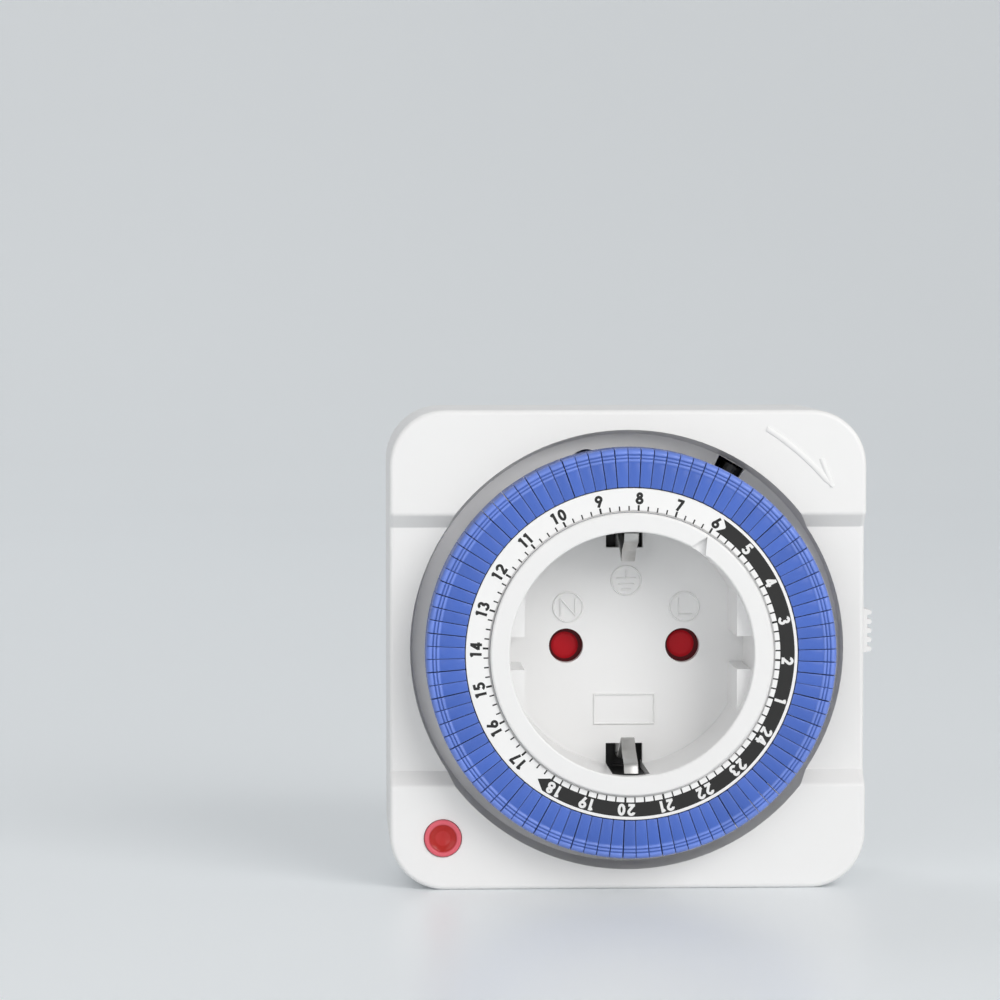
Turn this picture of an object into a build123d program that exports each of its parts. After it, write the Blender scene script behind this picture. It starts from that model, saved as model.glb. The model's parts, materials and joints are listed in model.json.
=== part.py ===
from build123d import *
import os
from math import cos, pi, radians, sin

os.makedirs("parts", exist_ok=True)

# A segment timer that plugs into a wall socket and carries a socket in the middle of its dial.
# Frame, in millimetres: +Z is up, the dial faces -Y and the plug's pins point along +Y.
# The origin is the middle of the face of the plug that seats in the wall socket.
# A "depth" is measured backwards from the front of the housing, so what stands proud is negative.
# A clock angle runs clockwise from the top, seen from the front.

# ---------------------------------------------------------------- gaps and fits
air_gap = 0.3            # between pieces that pass each other
running_gap = 0.1        # radial, between a bore and what turns in it
fit_gap = 0.05           # radial, between a bore and what is pressed into it
overcut = 1.0            # how far a cutting shape runs past the face that it cuts

# ---------------------------------------------------------------- plug
pin_pitch = 19.0
pin_radius = 2.4
pin_length = 19.0
pin_root_radius = 2.9    # the collar that passes the plug's face
pin_tip_round = 1.3
pin_flange_radius = 3.4
pin_flange_thickness = 2.0
pin_tail_radius = 1.5
line_tail_length = 7.0
plug_radius = 18.4
plug_length = 17.0
plug_cavity_radius = 16.0
plug_face_thickness = 3.0
plug_edge_round = 0.8
plug_side_flat = 16.6    # half width between the flats that clear a socket's side guides
plug_rib_height = 4.6    # rib between two side guides
plug_rib_reach = 18.2
pin_plate_thickness = 3.0

# ---------------------------------------------------------------- housing
side_margin = 1.5        # between the well's wall and the housing's sides
top_margin = 1.7         # between the well's wall and the housing's top and bottom
housing_depth = 30.5
corner_radius = 9.0
edge_radius = 0.8
wall = 2.0
seam_depth = 20.0
seam_chamfer = 0.3
lip_height = 2.5
lip_thickness = 0.7
lip_root_length = 2.0
band_half_height = 21.9  # the sunk middle band, where its ramps leave the front face
band_depth = 2.6
band_ramp = 2.2
band_round = 0.9
well_clearance = 2.7     # round the tappets' skirts, at the front
well_taper = 0.75
well_depth = 5.0
well_floor_thickness = 1.5
well_wall = 1.5

# ---------------------------------------------------------------- screws
screw_corners = ((-32.5, 32.5), (32.5, 32.5), (22.0, -33.0), (-22.0, -33.0))
screw_boss_radius = 3.0
screw_radius = 1.3
screw_length = 12.0
screw_seat_thickness = 5.0
screw_head_radius = 2.75
screw_head_height = 2.0
rear_boss_radius = 4.0
small_screw_radius = 0.9
small_screw_length = 4.0
small_head_radius = 1.9
small_head_height = 1.2
small_boss_radius = 2.4
recess_width = 0.5
recess_share = 0.6       # depth of a cross recess, as a share of the head
recess_span = 1.2        # length of its arms, as a share of the head's radius

# ---------------------------------------------------------------- socket insert
rim_proud = 8.5
rim_width = 3.1
rim_thickness = 1.5
rim_round = 0.4
mouth_radius = 19.5
mouth_round = 0.3
insert_wall = 1.8
socket_depth = 17.5
socket_floor = 2.0
socket_hole_radius = 2.8
guide_half_width = 17.0
guide_half_height = 10.2
guide_notch = 5.3
guide_set_back = 3.0
clip_slot_width = 6.0
clip_slot_start = 16.0
clip_slot_set_back = 2.0
pointer_angle = 32.5
pointer_half_angle = 4.2
pointer_tip_radius = 22.2
pointer_depth = 1.2
pivot_radius = 1.5
shutter_thickness = 1.8
shutter_hub_radius = 3.2
shutter_wing_radius = 3.6
shutter_recess = 0.9
spring_coil_radius = 2.2
spring_pitch = 0.45
feeler_spring_turns = 2
insert_screw_radius = 14.0

# ---------------------------------------------------------------- dial
quarters = 4
hours = 24
shown_hour = 6           # the hour that stands at the pointer
tappet_proud = 8.0
tappet_inner_radius = 26.65
tappet_radius = 32.8
tappet_gap_angle = 0.35
tappet_travel = 3.0
cap_thickness = 2.0
cap_chamfer = 0.2
ridge_start = 1.9        # from the skirt inwards
ridge_pitch = 0.64
ridge_count = 3
groove_width = 0.22
groove_depth = 0.3
skirt_thickness = 1.6
prong_set_back = 1.35    # from the cap's inner end
prong_thickness = 1.2
prong_width = 1.0
prong_length = 7.5
skirt_end = 0.0
slot_gap = 0.2
ring_to_tappet = 0.15
number_ring_thickness = 1.0
number_ring_proud = 7.7
drum_wall = 1.1
flange_front = -2.0
flange_thickness = 1.5
top_web = 1.2
gear_seat_wall = 0.8

# ---------------------------------------------------------------- gear train
dial_teeth = 96
dial_module = 0.5
pinion_teeth = 12
wheel_teeth = 24
wheel_module = 0.4
motor_teeth = 10
tooth_tip = 0.6          # addendum, in modules
tooth_root = 1.1         # dedendum, in modules
tooth_root_width = 1.5   # in modules
tooth_tip_width = 0.6
pinion_root_width = 1.35
pinion_tip_width = 0.5
tooth_bury = 0.15        # how far a tooth starts inside the root circle, in modules
gear_thickness = 3.0
wheel_thickness = 1.5
stage_gap = 0.6
floor_to_gear = 0.7
wheel_to_bracket = 0.5
train_angle = -12.4      # clock angle of the reduction gear's spindle
spindle_radius = 0.75
spindle_head_radius = 1.3
spindle_head = 0.4
peep_radius = 3.0        # round hole in the well's floor in front of the reduction gear
peep_place_radius = 29.9

# ---------------------------------------------------------------- motor
motor_radius = 9.4
motor_room = 2.7         # between the motor and the rear cover
motor_skin = 0.9
rotor_radius = 5.0
rotor_end_gap = 1.0
shaft_radius = 0.75
bracket_thickness = 1.0
bracket_low_z = 24.4
bracket_high_z = 36.0
bracket_left_x = -28.2
bracket_right_x = 4.2
bracket_round = 2.0
bracket_screws = ((-25.5, 27.5), (1.5, 33.3))
motor_screws = ((-19.2, 29.6), (-9.2, 33.1))

# ---------------------------------------------------------------- contact carrier
carrier_radius = 24.0
carrier_thickness = 2.0
carrier_rim = 2.4
carrier_ear_angles = (100.0, 180.0, 255.0)
carrier_ear_place = 29.0
carrier_ear_radius = 2.9
tongue_inner = 20.3
tongue_thickness = 0.65
sleeve_bore = 2.55
sleeve_wall = 0.6
sleeve_base = 0.5
sleeve_slot = 0.8
sleeve_slot_length = 6.0
pocket_wall = 1.1
pocket_gap = 0.4
pocket_room = 1.0        # between the contacts' pockets and the rear cover
tab_width = 3.0
tab_reach = 15.6         # end of a soldering tab, from the middle
tab_lead_x = 14.5

# ---------------------------------------------------------------- earth
strap_thickness = 0.6
strap_width = 2.6
strap_bend = 0.8
clip_apex_radius = 14.3
clip_apex_depth = 1.0
clip_foot_radius = 18.3
clip_hook_radius = 19.3
clip_hook_depth = -6.2
clip_throat_radius = 15.9
clip_throat_depth = -2.2
clip_lean_radius = 18.0
clip_lean_depth = -5.8
earth_channel_width = 5.2
earth_channel_floor = 16.9
earth_contact_radius = 17.9
earth_contact_lip = 17.3
earth_cross_depth = 14.0  # behind the plug's face, where the plug strap crosses
earth_post_radius = 1.5
earth_lip_set_back = 1.3

# ---------------------------------------------------------------- switch
window_start = 25.8
window_end = 33.5
window_depth_inwards = 5.2
nose_width = 1.8
nose_round = 0.5
lever_set_back = 1.8     # from the tappets' skirts inwards to the lever's nose
lever_width = 3.2
lever_front = 8.0
lever_thickness = 2.0
lever_arm = 13.0         # from the nose to the pivot, across that radius
lever_tail = 19.0
lever_hub_radius = 2.0
nose_gap = 0.1           # between the pushed nose and a pressed tappet
feeler_pin_radius = 0.75
ear_thickness = 1.8
ear_half_length = 2.0
ear_top = 11.0
spring_space = 1.6
spring_wire = 0.2
spring_radius = 1.25
switch_front = 13.0
switch_room = 6.5        # between the switch and the rear cover, for its terminals
switch_length = 12.0
switch_width = 6.0
switch_start = 2.0
switch_skin = 1.0
plunger_place = 7.0
plunger_radius = 1.0
plunger_collar = 1.6
plunger_collar_height = 1.0
plunger_play = 0.9
terminal_places = (4.0, 12.0)
terminal_thickness = 0.8
terminal_width = 3.0
terminal_length = 4.5
rib_length = 1.6
rib_width = 1.8

# ---------------------------------------------------------------- override slider
knob_rest = 2.2          # height of the knob's middle above the dial's axis
knob_travel = 4.4
knob_depth = 12.5
knob_length = 7.1
knob_width = 5.2
knob_reach = 2.2
knob_ribs = 5
knob_rib_pitch = 1.5
knob_rib_height = 0.7
knob_rib_width = 0.8
knob_rib_round = 0.35
knob_recess = 0.8
neck_length = 3.0
neck_width = 2.4
slide_plate_thickness = 1.8
slide_plate_length = 14.0
slide_plate_width = 6.0
slide_arm_top = 24.4
slide_arm_width = 2.0
slide_finger_height = 2.8
slide_finger_reach = 4.4
leaf_thickness = 0.3
leaf_width = 3.0
leaf_half_length = 7.0
leaf_bulge = 0.8
leaf_post = 1.6

# ---------------------------------------------------------------- pilot lamp
lamp_x = -29.9
lamp_z = -30.3
lens_radius = 3.0
lens_proud = 0.45
lens_dish_radius = 2.3
lens_chamfer = 0.25
lens_dish = 0.3
lens_flange = 0.7
lens_flange_thickness = 1.2
lens_length = 5.5
lamp_ring_wall = 1.0
lamp_ring_height = 7.0
bulb_radius = 2.0
bulb_length = 9.0
resistor_x = -25.0
resistor_z = -24.0
resistor_radius = 1.2
resistor_length = 7.0
thin_wire = 0.35
thin_wire_bend = 0.8

# ---------------------------------------------------------------- insulated leads
lead_radius = 0.8
lead_bend = 1.6
loom_room = 3.5          # between the leads' runs and the rear cover
neutral_entry = 218.0    # directions from the motor's middle, clockwise from the top
line_entry = 70.0
solder_gap = 0.8         # between a slanting lead's end and the edge of its terminal
motor_lead_run = 5.0     # straight run of a lead in front of the motor's can
bulb_wire_run = 4.0      # straight runs of the thin wires behind the bulb and the resistor
resistor_wire_run = 2.0

# Each way point of a wire is an X, a depth behind the loom's and a Z.
bulb_route = ((-22, -3, -26.5), (-13, -1, -24), (12, 0, -20))
bulb_tab_point = (1, -8)
resistor_route = ((-18, 1, -10),)
pin_lead_route = ((10.5, 1.3, 11.5), (13.5, -1, 18.0))
pin_lead_front = 7.7
pin_lead_turn = (6.5, 10.5)
line_lead_route = ((19.5, 1.5, 1.5), (25.5, 0, 8.5), (27.3, 0, 15.0))
neutral_lead_route = ((-19.0, 1.5, 1.5), (-23.5, 0, 8.0))
motor_lead_route = ((16.0, -0.3, 31.5), (6.0, -0.8, 33.5))

# ---------------------------------------------------------------- places worked out from these
front_y = -(plug_length + housing_depth)
hour_angle = 360 / hours
tappet_pitch = hour_angle / quarters
insert_radius = mouth_radius + insert_wall
rim_radius = mouth_radius + rim_width
hub_radius = rim_radius + air_gap
number_ring_bore = hub_radius
number_ring_radius = tappet_inner_radius - ring_to_tappet
drum_radius = number_ring_radius - running_gap
gear_seat_radius = insert_radius + running_gap + gear_seat_wall
ridge_start_radius = tappet_radius - ridge_start
skirt_inner_radius = tappet_radius - skirt_thickness
prong_radius = tappet_inner_radius + prong_set_back
flange_radius = skirt_inner_radius - air_gap
well_radius = tappet_radius + well_clearance
well_floor_radius = well_radius - well_taper
window_outer_radius = well_floor_radius - fit_gap
window_inner_radius = window_outer_radius - window_depth_inwards
lever_inner = tappet_radius - lever_set_back
housing_width = 2 * (well_radius + well_wall + side_margin)
housing_height = 2 * (well_radius + well_wall + top_margin)
rim_front = -rim_proud
rim_back = rim_front + rim_thickness
cup_floor = rim_front + socket_depth
cup_back = cup_floor + socket_floor
shutter_front = cup_back + air_gap
shutter_back = shutter_front + shutter_thickness
carrier_front = shutter_back + air_gap
carrier_back = carrier_front + carrier_thickness
rear_inside = housing_depth - wall
well_back = well_depth + well_floor_thickness
ring_front = -number_ring_proud
ring_back = ring_front + number_ring_thickness
dial_bore = insert_radius + running_gap
gear_front = well_back + floor_to_gear
gear_back = gear_front + gear_thickness
wheel_front = gear_back + stage_gap
wheel_back = wheel_front + wheel_thickness
bracket_front = wheel_back + wheel_to_bracket
motor_front = bracket_front + bracket_thickness
motor_back = rear_inside - motor_room
train_radius = (dial_teeth + pinion_teeth) * dial_module / 2
wheel_to_motor = (wheel_teeth + motor_teeth) * wheel_module / 2
spindle_x = train_radius * sin(radians(train_angle))
spindle_z = train_radius * cos(radians(train_angle))
motor_x = spindle_x - wheel_to_motor
feeler_angle = (window_start + window_end) / 2
nose_front = skirt_end + tappet_travel + nose_gap
wall_inside = housing_width / 2 - wall


# ---------------------------------------------------------------- planes and small helpers
def at(depth):
    """The Y of a depth behind the housing's front."""
    return front_y + depth


def across(depth):
    """The plane across the timer at a depth: X to the right, Z up, facing the front."""
    return Plane(origin=(0, at(depth), 0), x_dir=(1, 0, 0), z_dir=(0, -1, 0))


def clock(radius, angle):
    """The (X, Z) of a radius and a clock angle."""
    return (radius * sin(radians(angle)), radius * cos(radians(angle)))


def half_plane(angle):
    """The plane through the dial's axis at a clock angle: radius, then Y."""
    out = (sin(radians(angle)), 0, cos(radians(angle)))
    return Plane(origin=(0, 0, 0), x_dir=out, z_dir=(-out[2], 0, out[0]))


def feeler_across(depth):
    """A section turned to the feeler: x runs clockwise along the rim, y outwards."""
    along = (cos(radians(feeler_angle)), 0, -sin(radians(feeler_angle)))
    return Plane(origin=(0, at(depth), 0), x_dir=along, z_dir=(0, -1, 0))


def feeler_side(distance):
    """The side view of the feeler at a distance from the dial's axis: x along the rim, then Y."""
    out = (sin(radians(feeler_angle)), 0, cos(radians(feeler_angle)))
    along = (out[2], 0, -out[0])
    return Plane(origin=(distance * out[0], 0, distance * out[2]), x_dir=along, z_dir=out)


def feeler_point(along, out, depth):
    """The (X, Y, Z) of a place given along the rim, outwards and by depth."""
    s = sin(radians(feeler_angle))
    c = cos(radians(feeler_angle))
    return (out * s + along * c, at(depth), out * c - along * s)


def motor_side(angle, distance, depth):
    """The (X, Y, Z) of a place around the motor's can, by direction, distance from it and depth."""
    x, z = clock(motor_radius + fit_gap + distance, angle)
    return (motor_x + x, at(depth), spindle_z + z)


def way(points):
    """The (X, Y, Z) of a wire's way points."""
    return [(x, at(loom_depth + depth), z) for x, depth, z in points]


def turned_profile(*points):
    """Draws a closed outline of (radius, depth) points, ready to revolve about the dial's axis."""
    with BuildLine() as outline:
        Polyline(*[(radius, at(depth)) for radius, depth in points], close=True)
    make_face(outline.edges())


def draw_gear(teeth, module, phase, root_width, tip_width):
    """Draws a spur gear whose first tooth stands at a phase, counter-clockwise from +X."""
    root = (teeth / 2 - tooth_root) * module
    start = root - tooth_bury * module
    height = (teeth / 2 + tooth_tip) * module - start
    Circle(root)
    with PolarLocations(start, teeth, start_angle=phase):
        Polygon((0, -root_width * module / 2), (height, -tip_width * module / 2),
                (height, tip_width * module / 2), (0, root_width * module / 2), align=None)


def posts(places, radius, start, end, mode=Mode.ADD):
    """Adds, or cuts, round posts from one depth to another."""
    with BuildSketch(across(start)) as outline:
        with Locations(*places):
            Circle(radius)
    extrude(outline.sketch, amount=start - end, mode=mode)


def block(left, right, low, high, start, end, mode=Mode.ADD):
    """Adds, or cuts, a block between two X, two Z and two depths."""
    with BuildSketch(across(start)) as outline:
        with Locations(((left + right) / 2, (low + high) / 2)):
            Rectangle(abs(right - left), abs(high - low))
    extrude(outline.sketch, amount=start - end, mode=mode)


def feeler_block(along, out, length, width, start, end, mode=Mode.ADD):
    """Adds, or cuts, a block in the feeler's frame, by its middle, its two sides and two depths."""
    with BuildSketch(feeler_across(start)) as outline:
        with Locations((along, out)):
            Rectangle(length, width)
    extrude(outline.sketch, amount=start - end, mode=mode)


def screws(places, seat, facing, head_radius, head_height, shank_radius, shank_length):
    """Adds cross-head screws seated at a depth; facing is 1 with the heads behind it, else -1."""
    posts(places, head_radius, seat, seat + facing * head_height)
    posts(places, shank_radius, seat, seat - facing * shank_length)
    with BuildSketch(across(seat + facing * head_height)) as recess:
        with Locations(*places):
            Rectangle(head_radius * recess_span, recess_width)
            Rectangle(recess_width, head_radius * recess_span)
    extrude(recess.sketch, amount=facing * head_height * recess_share, mode=Mode.SUBTRACT)


def wire(points, radius, bend):
    """Adds a bare or insulated wire through points, with arcs at its bends."""
    with BuildLine() as route:
        FilletPolyline(*points, radius=bend)
    with BuildSketch(Plane(origin=route.line @ 0, z_dir=route.line % 0)) as outline:
        Circle(radius)
    sweep(outline.sketch, path=route.line)


def strap(points, bend, thickness, width):
    """Adds a bent strip, from points (Y, Z) along its middle in the plane of the dial's axis."""
    with BuildLine() as route:
        FilletPolyline(*points, radius=bend)
    with BuildSketch(Plane.YZ) as outline:
        trace(route.edges(), line_width=thickness)
    extrude(outline.sketch, amount=width / 2, both=True)


def sleeve(side):
    """Adds a slotted sleeve for the pin on a side, closed behind, with a soldering tab outwards."""
    x = side * pin_pitch / 2
    posts([(x, 0)], sleeve_radius, sleeve_front, sleeve_back)
    block(min(x, side * tab_reach), max(x, side * tab_reach), -tab_width / 2, tab_width / 2,
          sleeve_back - sleeve_base, sleeve_back)
    posts([(x, 0)], sleeve_bore, sleeve_front - overcut, sleeve_back - sleeve_base, Mode.SUBTRACT)
    with BuildSketch(across(sleeve_front - overcut)) as slots:
        with Locations((x, 0)):
            Rectangle(sleeve_slot, 3 * sleeve_radius)
            Rectangle(3 * sleeve_radius, sleeve_slot)
    extrude(slots.sketch, amount=-(sleeve_slot_length + overcut), mode=Mode.SUBTRACT)


def finish(piece, name):
    """Labels a finished piece and writes it."""
    piece.part.label = name
    export_step(piece.part, f"parts/{name}.step")


pins = ((-pin_pitch / 2, 0), (pin_pitch / 2, 0))
ear_places = [clock(carrier_ear_place, angle) for angle in carrier_ear_angles]
insert_screws = [clock(insert_screw_radius, 45), clock(insert_screw_radius, 225)]
ear_inner_end = lever_inner - air_gap - spring_space
ear_outer_start = lever_inner + lever_width + air_gap
ear_middles = (ear_inner_end - ear_thickness / 2, ear_outer_start + ear_thickness / 2)
switch_out = lever_inner + lever_width / 2
rib_middles = (switch_out - switch_width / 2, switch_out + switch_width / 2)
pivot_depth = lever_front + lever_thickness / 2
loom_depth = rear_inside - loom_room
knob_middle = knob_rest - knob_travel / 2

# ---------------------------------------------------------------- front housing
with BuildPart() as raised_bands:
    with BuildSketch(across(0)):
        RectangleRounded(housing_width, housing_height, corner_radius)
    extrude(amount=-(band_depth + overcut))
    with BuildSketch(Plane.YZ):
        with BuildLine():
            Polyline((at(-overcut), -band_half_height), (at(0), -band_half_height),
                     (at(band_depth), band_ramp - band_half_height),
                     (at(band_depth + 2 * overcut), band_ramp - band_half_height),
                     (at(band_depth + 2 * overcut), band_half_height - band_ramp),
                     (at(band_depth), band_half_height - band_ramp),
                     (at(0), band_half_height), (at(-overcut), band_half_height), close=True)
        make_face()
    extrude(amount=housing_width, both=True, mode=Mode.SUBTRACT)
    front_edges = raised_bands.edges().group_by(Axis.Y)[0]
    fillet([e for e in front_edges if abs(abs(e.center().Z) - band_half_height) < 0.01], band_round)
    front_faces = raised_bands.faces().filter_by(Axis.Y).group_by(Axis.Y)[0]
    outline = [e for f in front_faces for e in f.outer_wire().edges()
               if abs(e.center().Z) > band_half_height + band_round]
    fillet(outline, edge_radius)

with BuildPart() as front_housing:
    with BuildSketch(across(band_depth)):
        RectangleRounded(housing_width, housing_height, corner_radius)
    extrude(amount=-(seam_depth - band_depth))
    fillet(front_housing.faces().sort_by(Axis.Y)[0].edges(), edge_radius)
    chamfer(front_housing.faces().sort_by(Axis.Y)[-1].edges(), seam_chamfer)
    add(raised_bands.part)
    # The shell is hollowed behind the sunk band, and further forward behind the two raised bands.
    with BuildSketch(across(band_depth + wall)):
        RectangleRounded(housing_width - 2 * wall, housing_height - 2 * wall, corner_radius - wall)
    extrude(amount=-seam_depth, mode=Mode.SUBTRACT)
    with BuildSketch(across(wall)):
        RectangleRounded(housing_width - 2 * wall, housing_height - 2 * wall, corner_radius - wall)
        Rectangle(housing_width, 2 * band_half_height + wall, mode=Mode.SUBTRACT)
    extrude(amount=-(band_depth + overcut), mode=Mode.SUBTRACT)
    # The well that the dial turns in, its posts and its bosses, all standing on the front wall.
    with BuildSketch(across(band_depth + wall / 2)):
        Circle(well_radius + well_wall)
    extrude(amount=-(well_back - band_depth - wall / 2))
    with BuildSketch(across(wall / 2)):
        Circle(well_radius + well_wall)
        Rectangle(housing_width, 2 * band_half_height, mode=Mode.SUBTRACT)
    extrude(amount=-(band_depth + wall / 2))
    posts(screw_corners, screw_boss_radius, wall / 2, seam_depth)
    posts(ear_places, small_boss_radius, well_depth, carrier_front)
    posts(bracket_screws, small_boss_radius, wall / 2, bracket_front)
    posts([(lamp_x, lamp_z)], lens_radius + lens_flange + air_gap + lamp_ring_wall, wall / 2,
          wall + lamp_ring_height)
    for middle in ear_middles:
        feeler_block(lever_arm, middle, 2 * ear_half_length, ear_thickness, wall / 2, ear_top)
    for middle in rib_middles:
        feeler_block(switch_start + rib_length / 2, middle, rib_length, rib_width, wall / 2,
                     switch_front)
    for side in (-1, 1):
        post_z = side * (leaf_half_length + leaf_post / 2 - air_gap)
        post_right = wall_inside - air_gap - slide_plate_thickness - leaf_bulge - leaf_thickness - air_gap
        block(post_right - leaf_post, post_right, post_z - leaf_post / 2, post_z + leaf_post / 2,
              band_depth + wall / 2, knob_depth + leaf_width / 2)
    # Cuts: the cone of the well, the dial's opening, the feeler's window and the round hole.
    with BuildSketch(Plane.XY):
        slope = (well_radius - well_floor_radius) / well_depth
        turned_profile((0, -overcut), (well_radius + slope * overcut, -overcut),
                       (well_floor_radius, well_depth), (0, well_depth))
    revolve(axis=Axis.Y, mode=Mode.SUBTRACT)
    with BuildSketch(across(0)):
        Circle(hub_radius + air_gap)
    extrude(amount=-2 * well_back, mode=Mode.SUBTRACT)
    with BuildSketch(across(well_depth - overcut)):
        with BuildLine():
            Polyline(clock(window_inner_radius, window_start), clock(window_outer_radius, window_start),
                     clock(window_outer_radius, window_end), clock(window_inner_radius, window_end),
                     close=True)
        make_face()
    extrude(amount=-(well_floor_thickness + 2 * overcut), mode=Mode.SUBTRACT)
    posts([clock(peep_place_radius, train_angle)], peep_radius, well_depth - overcut,
          well_back + overcut, Mode.SUBTRACT)
    # Holes for the screws, the feeler's pin, the lamp's lens and the slider.
    posts(screw_corners, screw_radius + fit_gap, seam_depth - screw_length, seam_depth + overcut,
          Mode.SUBTRACT)
    posts(ear_places, small_screw_radius + fit_gap, well_back + overcut, carrier_front + overcut,
          Mode.SUBTRACT)
    posts(bracket_screws, small_screw_radius + fit_gap, well_back + overcut,
          bracket_front + overcut, Mode.SUBTRACT)
    with BuildSketch(feeler_side(ear_inner_end - ear_thickness - overcut)):
        with Locations((lever_arm, at(pivot_depth))):
            Circle(feeler_pin_radius + fit_gap)
    extrude(amount=ear_outer_start - ear_inner_end + 2 * (ear_thickness + overcut), mode=Mode.SUBTRACT)
    posts([(lamp_x, lamp_z)], lens_radius + running_gap, -overcut, wall + overcut, Mode.SUBTRACT)
    posts([(lamp_x, lamp_z)], lens_radius + lens_flange + air_gap, wall,
          wall + lamp_ring_height + overcut, Mode.SUBTRACT)
    recess_half = (knob_length + knob_travel) / 2 + air_gap
    block(housing_width / 2 - knob_recess, housing_width / 2 + overcut, knob_middle - recess_half,
          knob_middle + recess_half, knob_depth - knob_width / 2 - air_gap,
          knob_depth + knob_width / 2 + air_gap, Mode.SUBTRACT)
    slot_half = (neck_length + knob_travel) / 2 + air_gap
    block(wall_inside - overcut, housing_width / 2, knob_middle - slot_half, knob_middle + slot_half,
          knob_depth - neck_width / 2 - air_gap, knob_depth + neck_width / 2 + air_gap, Mode.SUBTRACT)
finish(front_housing, "front_housing")

# ---------------------------------------------------------------- rear cover with the plug body
with BuildPart() as rear_cover:
    with BuildSketch(across(seam_depth)):
        RectangleRounded(housing_width, housing_height, corner_radius)
    extrude(amount=-(housing_depth - seam_depth))
    fillet(rear_cover.faces().sort_by(Axis.Y)[-1].edges(), edge_radius)
    chamfer(rear_cover.faces().sort_by(Axis.Y)[0].edges(), seam_chamfer)
    with BuildSketch(across(seam_depth)):
        RectangleRounded(housing_width - 2 * wall, housing_height - 2 * wall, corner_radius - wall)
    extrude(amount=-(rear_inside - seam_depth), mode=Mode.SUBTRACT)
    with BuildSketch(across(seam_depth - lip_height)):
        lip_inset = 2 * (wall + running_gap)
        RectangleRounded(housing_width - lip_inset, housing_height - lip_inset, corner_radius - wall)
        RectangleRounded(housing_width - lip_inset - 2 * lip_thickness,
                         housing_height - lip_inset - 2 * lip_thickness,
                         corner_radius - wall - lip_thickness, mode=Mode.SUBTRACT)
        with Locations(*screw_corners):
            Circle(screw_boss_radius + air_gap, mode=Mode.SUBTRACT)
        with Locations((motor_x, spindle_z)):
            Circle(motor_radius + air_gap, mode=Mode.SUBTRACT)
        with Locations(*bracket_screws):
            Circle(small_boss_radius + air_gap, mode=Mode.SUBTRACT)
    extrude(amount=-(lip_height + wall / 2))
    # The lip's root: it joins the lip to the wall, behind the seam.
    with BuildSketch(across(seam_depth + fit_gap)):
        RectangleRounded(housing_width - wall, housing_height - wall, corner_radius - wall / 2)
        RectangleRounded(housing_width - lip_inset - 2 * lip_thickness,
                         housing_height - lip_inset - 2 * lip_thickness,
                         corner_radius - wall - lip_thickness, mode=Mode.SUBTRACT)
        with Locations((motor_x, spindle_z)):
            Circle(motor_radius + air_gap, mode=Mode.SUBTRACT)
    extrude(amount=-lip_root_length)
    posts(screw_corners, rear_boss_radius, seam_depth, rear_inside + wall / 2)
    with BuildSketch(across(rear_inside)):
        Circle(plug_radius)
        Rectangle(2 * plug_side_flat, 2 * plug_radius, mode=Mode.INTERSECT)
        Rectangle(2 * plug_rib_reach, plug_rib_height)
    extrude(amount=-(plug_length + wall))
    plug_face = rear_cover.faces().sort_by(Axis.Y)[-1]
    fillet(plug_face.edges(), plug_edge_round)
    with BuildSketch(across(rear_inside - overcut)):
        Circle(plug_cavity_radius)
    extrude(amount=-(plug_length + wall + overcut - plug_face_thickness), mode=Mode.SUBTRACT)
    feeler_block((terminal_places[0] + terminal_places[1]) / 2, switch_out,
                 (terminal_places[1] - terminal_places[0]) / 2, rib_width,
                 rear_inside - switch_room + fit_gap, rear_inside + wall / 2)
    posts(screw_corners, screw_radius + running_gap, seam_depth - overcut, housing_depth + overcut,
          Mode.SUBTRACT)
    posts(screw_corners, screw_head_radius + running_gap, seam_depth + screw_seat_thickness,
          housing_depth + overcut, Mode.SUBTRACT)
    posts(pins, pin_root_radius + fit_gap, housing_depth, housing_depth + plug_length + overcut,
          Mode.SUBTRACT)
    for side in (-1, 1):
        block(-earth_channel_width / 2, earth_channel_width / 2,
              min(side * earth_channel_floor, side * (plug_radius + overcut)),
              max(side * earth_channel_floor, side * (plug_radius + overcut)),
              housing_depth + plug_length - earth_cross_depth - overcut,
              housing_depth + plug_length + overcut, Mode.SUBTRACT)
        block(-earth_channel_width / 2, earth_channel_width / 2,
              min(side * (plug_cavity_radius - overcut), side * (plug_radius + overcut)),
              max(side * (plug_cavity_radius - overcut), side * (plug_radius + overcut)),
              housing_depth + plug_length - earth_cross_depth - overcut,
              housing_depth + plug_length - earth_cross_depth + 2 * overcut, Mode.SUBTRACT)
finish(rear_cover, "rear_cover")

with BuildPart() as housing_screws:
    screws(screw_corners, seam_depth + screw_seat_thickness, 1, screw_head_radius, screw_head_height,
           screw_radius, screw_length)
finish(housing_screws, "housing_screws")

with BuildPart() as inner_screws:
    small = (small_head_radius, small_head_height, small_screw_radius, small_screw_length)
    screws(ear_places + insert_screws, carrier_back, 1, *small)
    screws(bracket_screws, motor_front, 1, *small)
    screws(motor_screws, bracket_front, -1, *small)
finish(inner_screws, "inner_screws")

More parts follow.
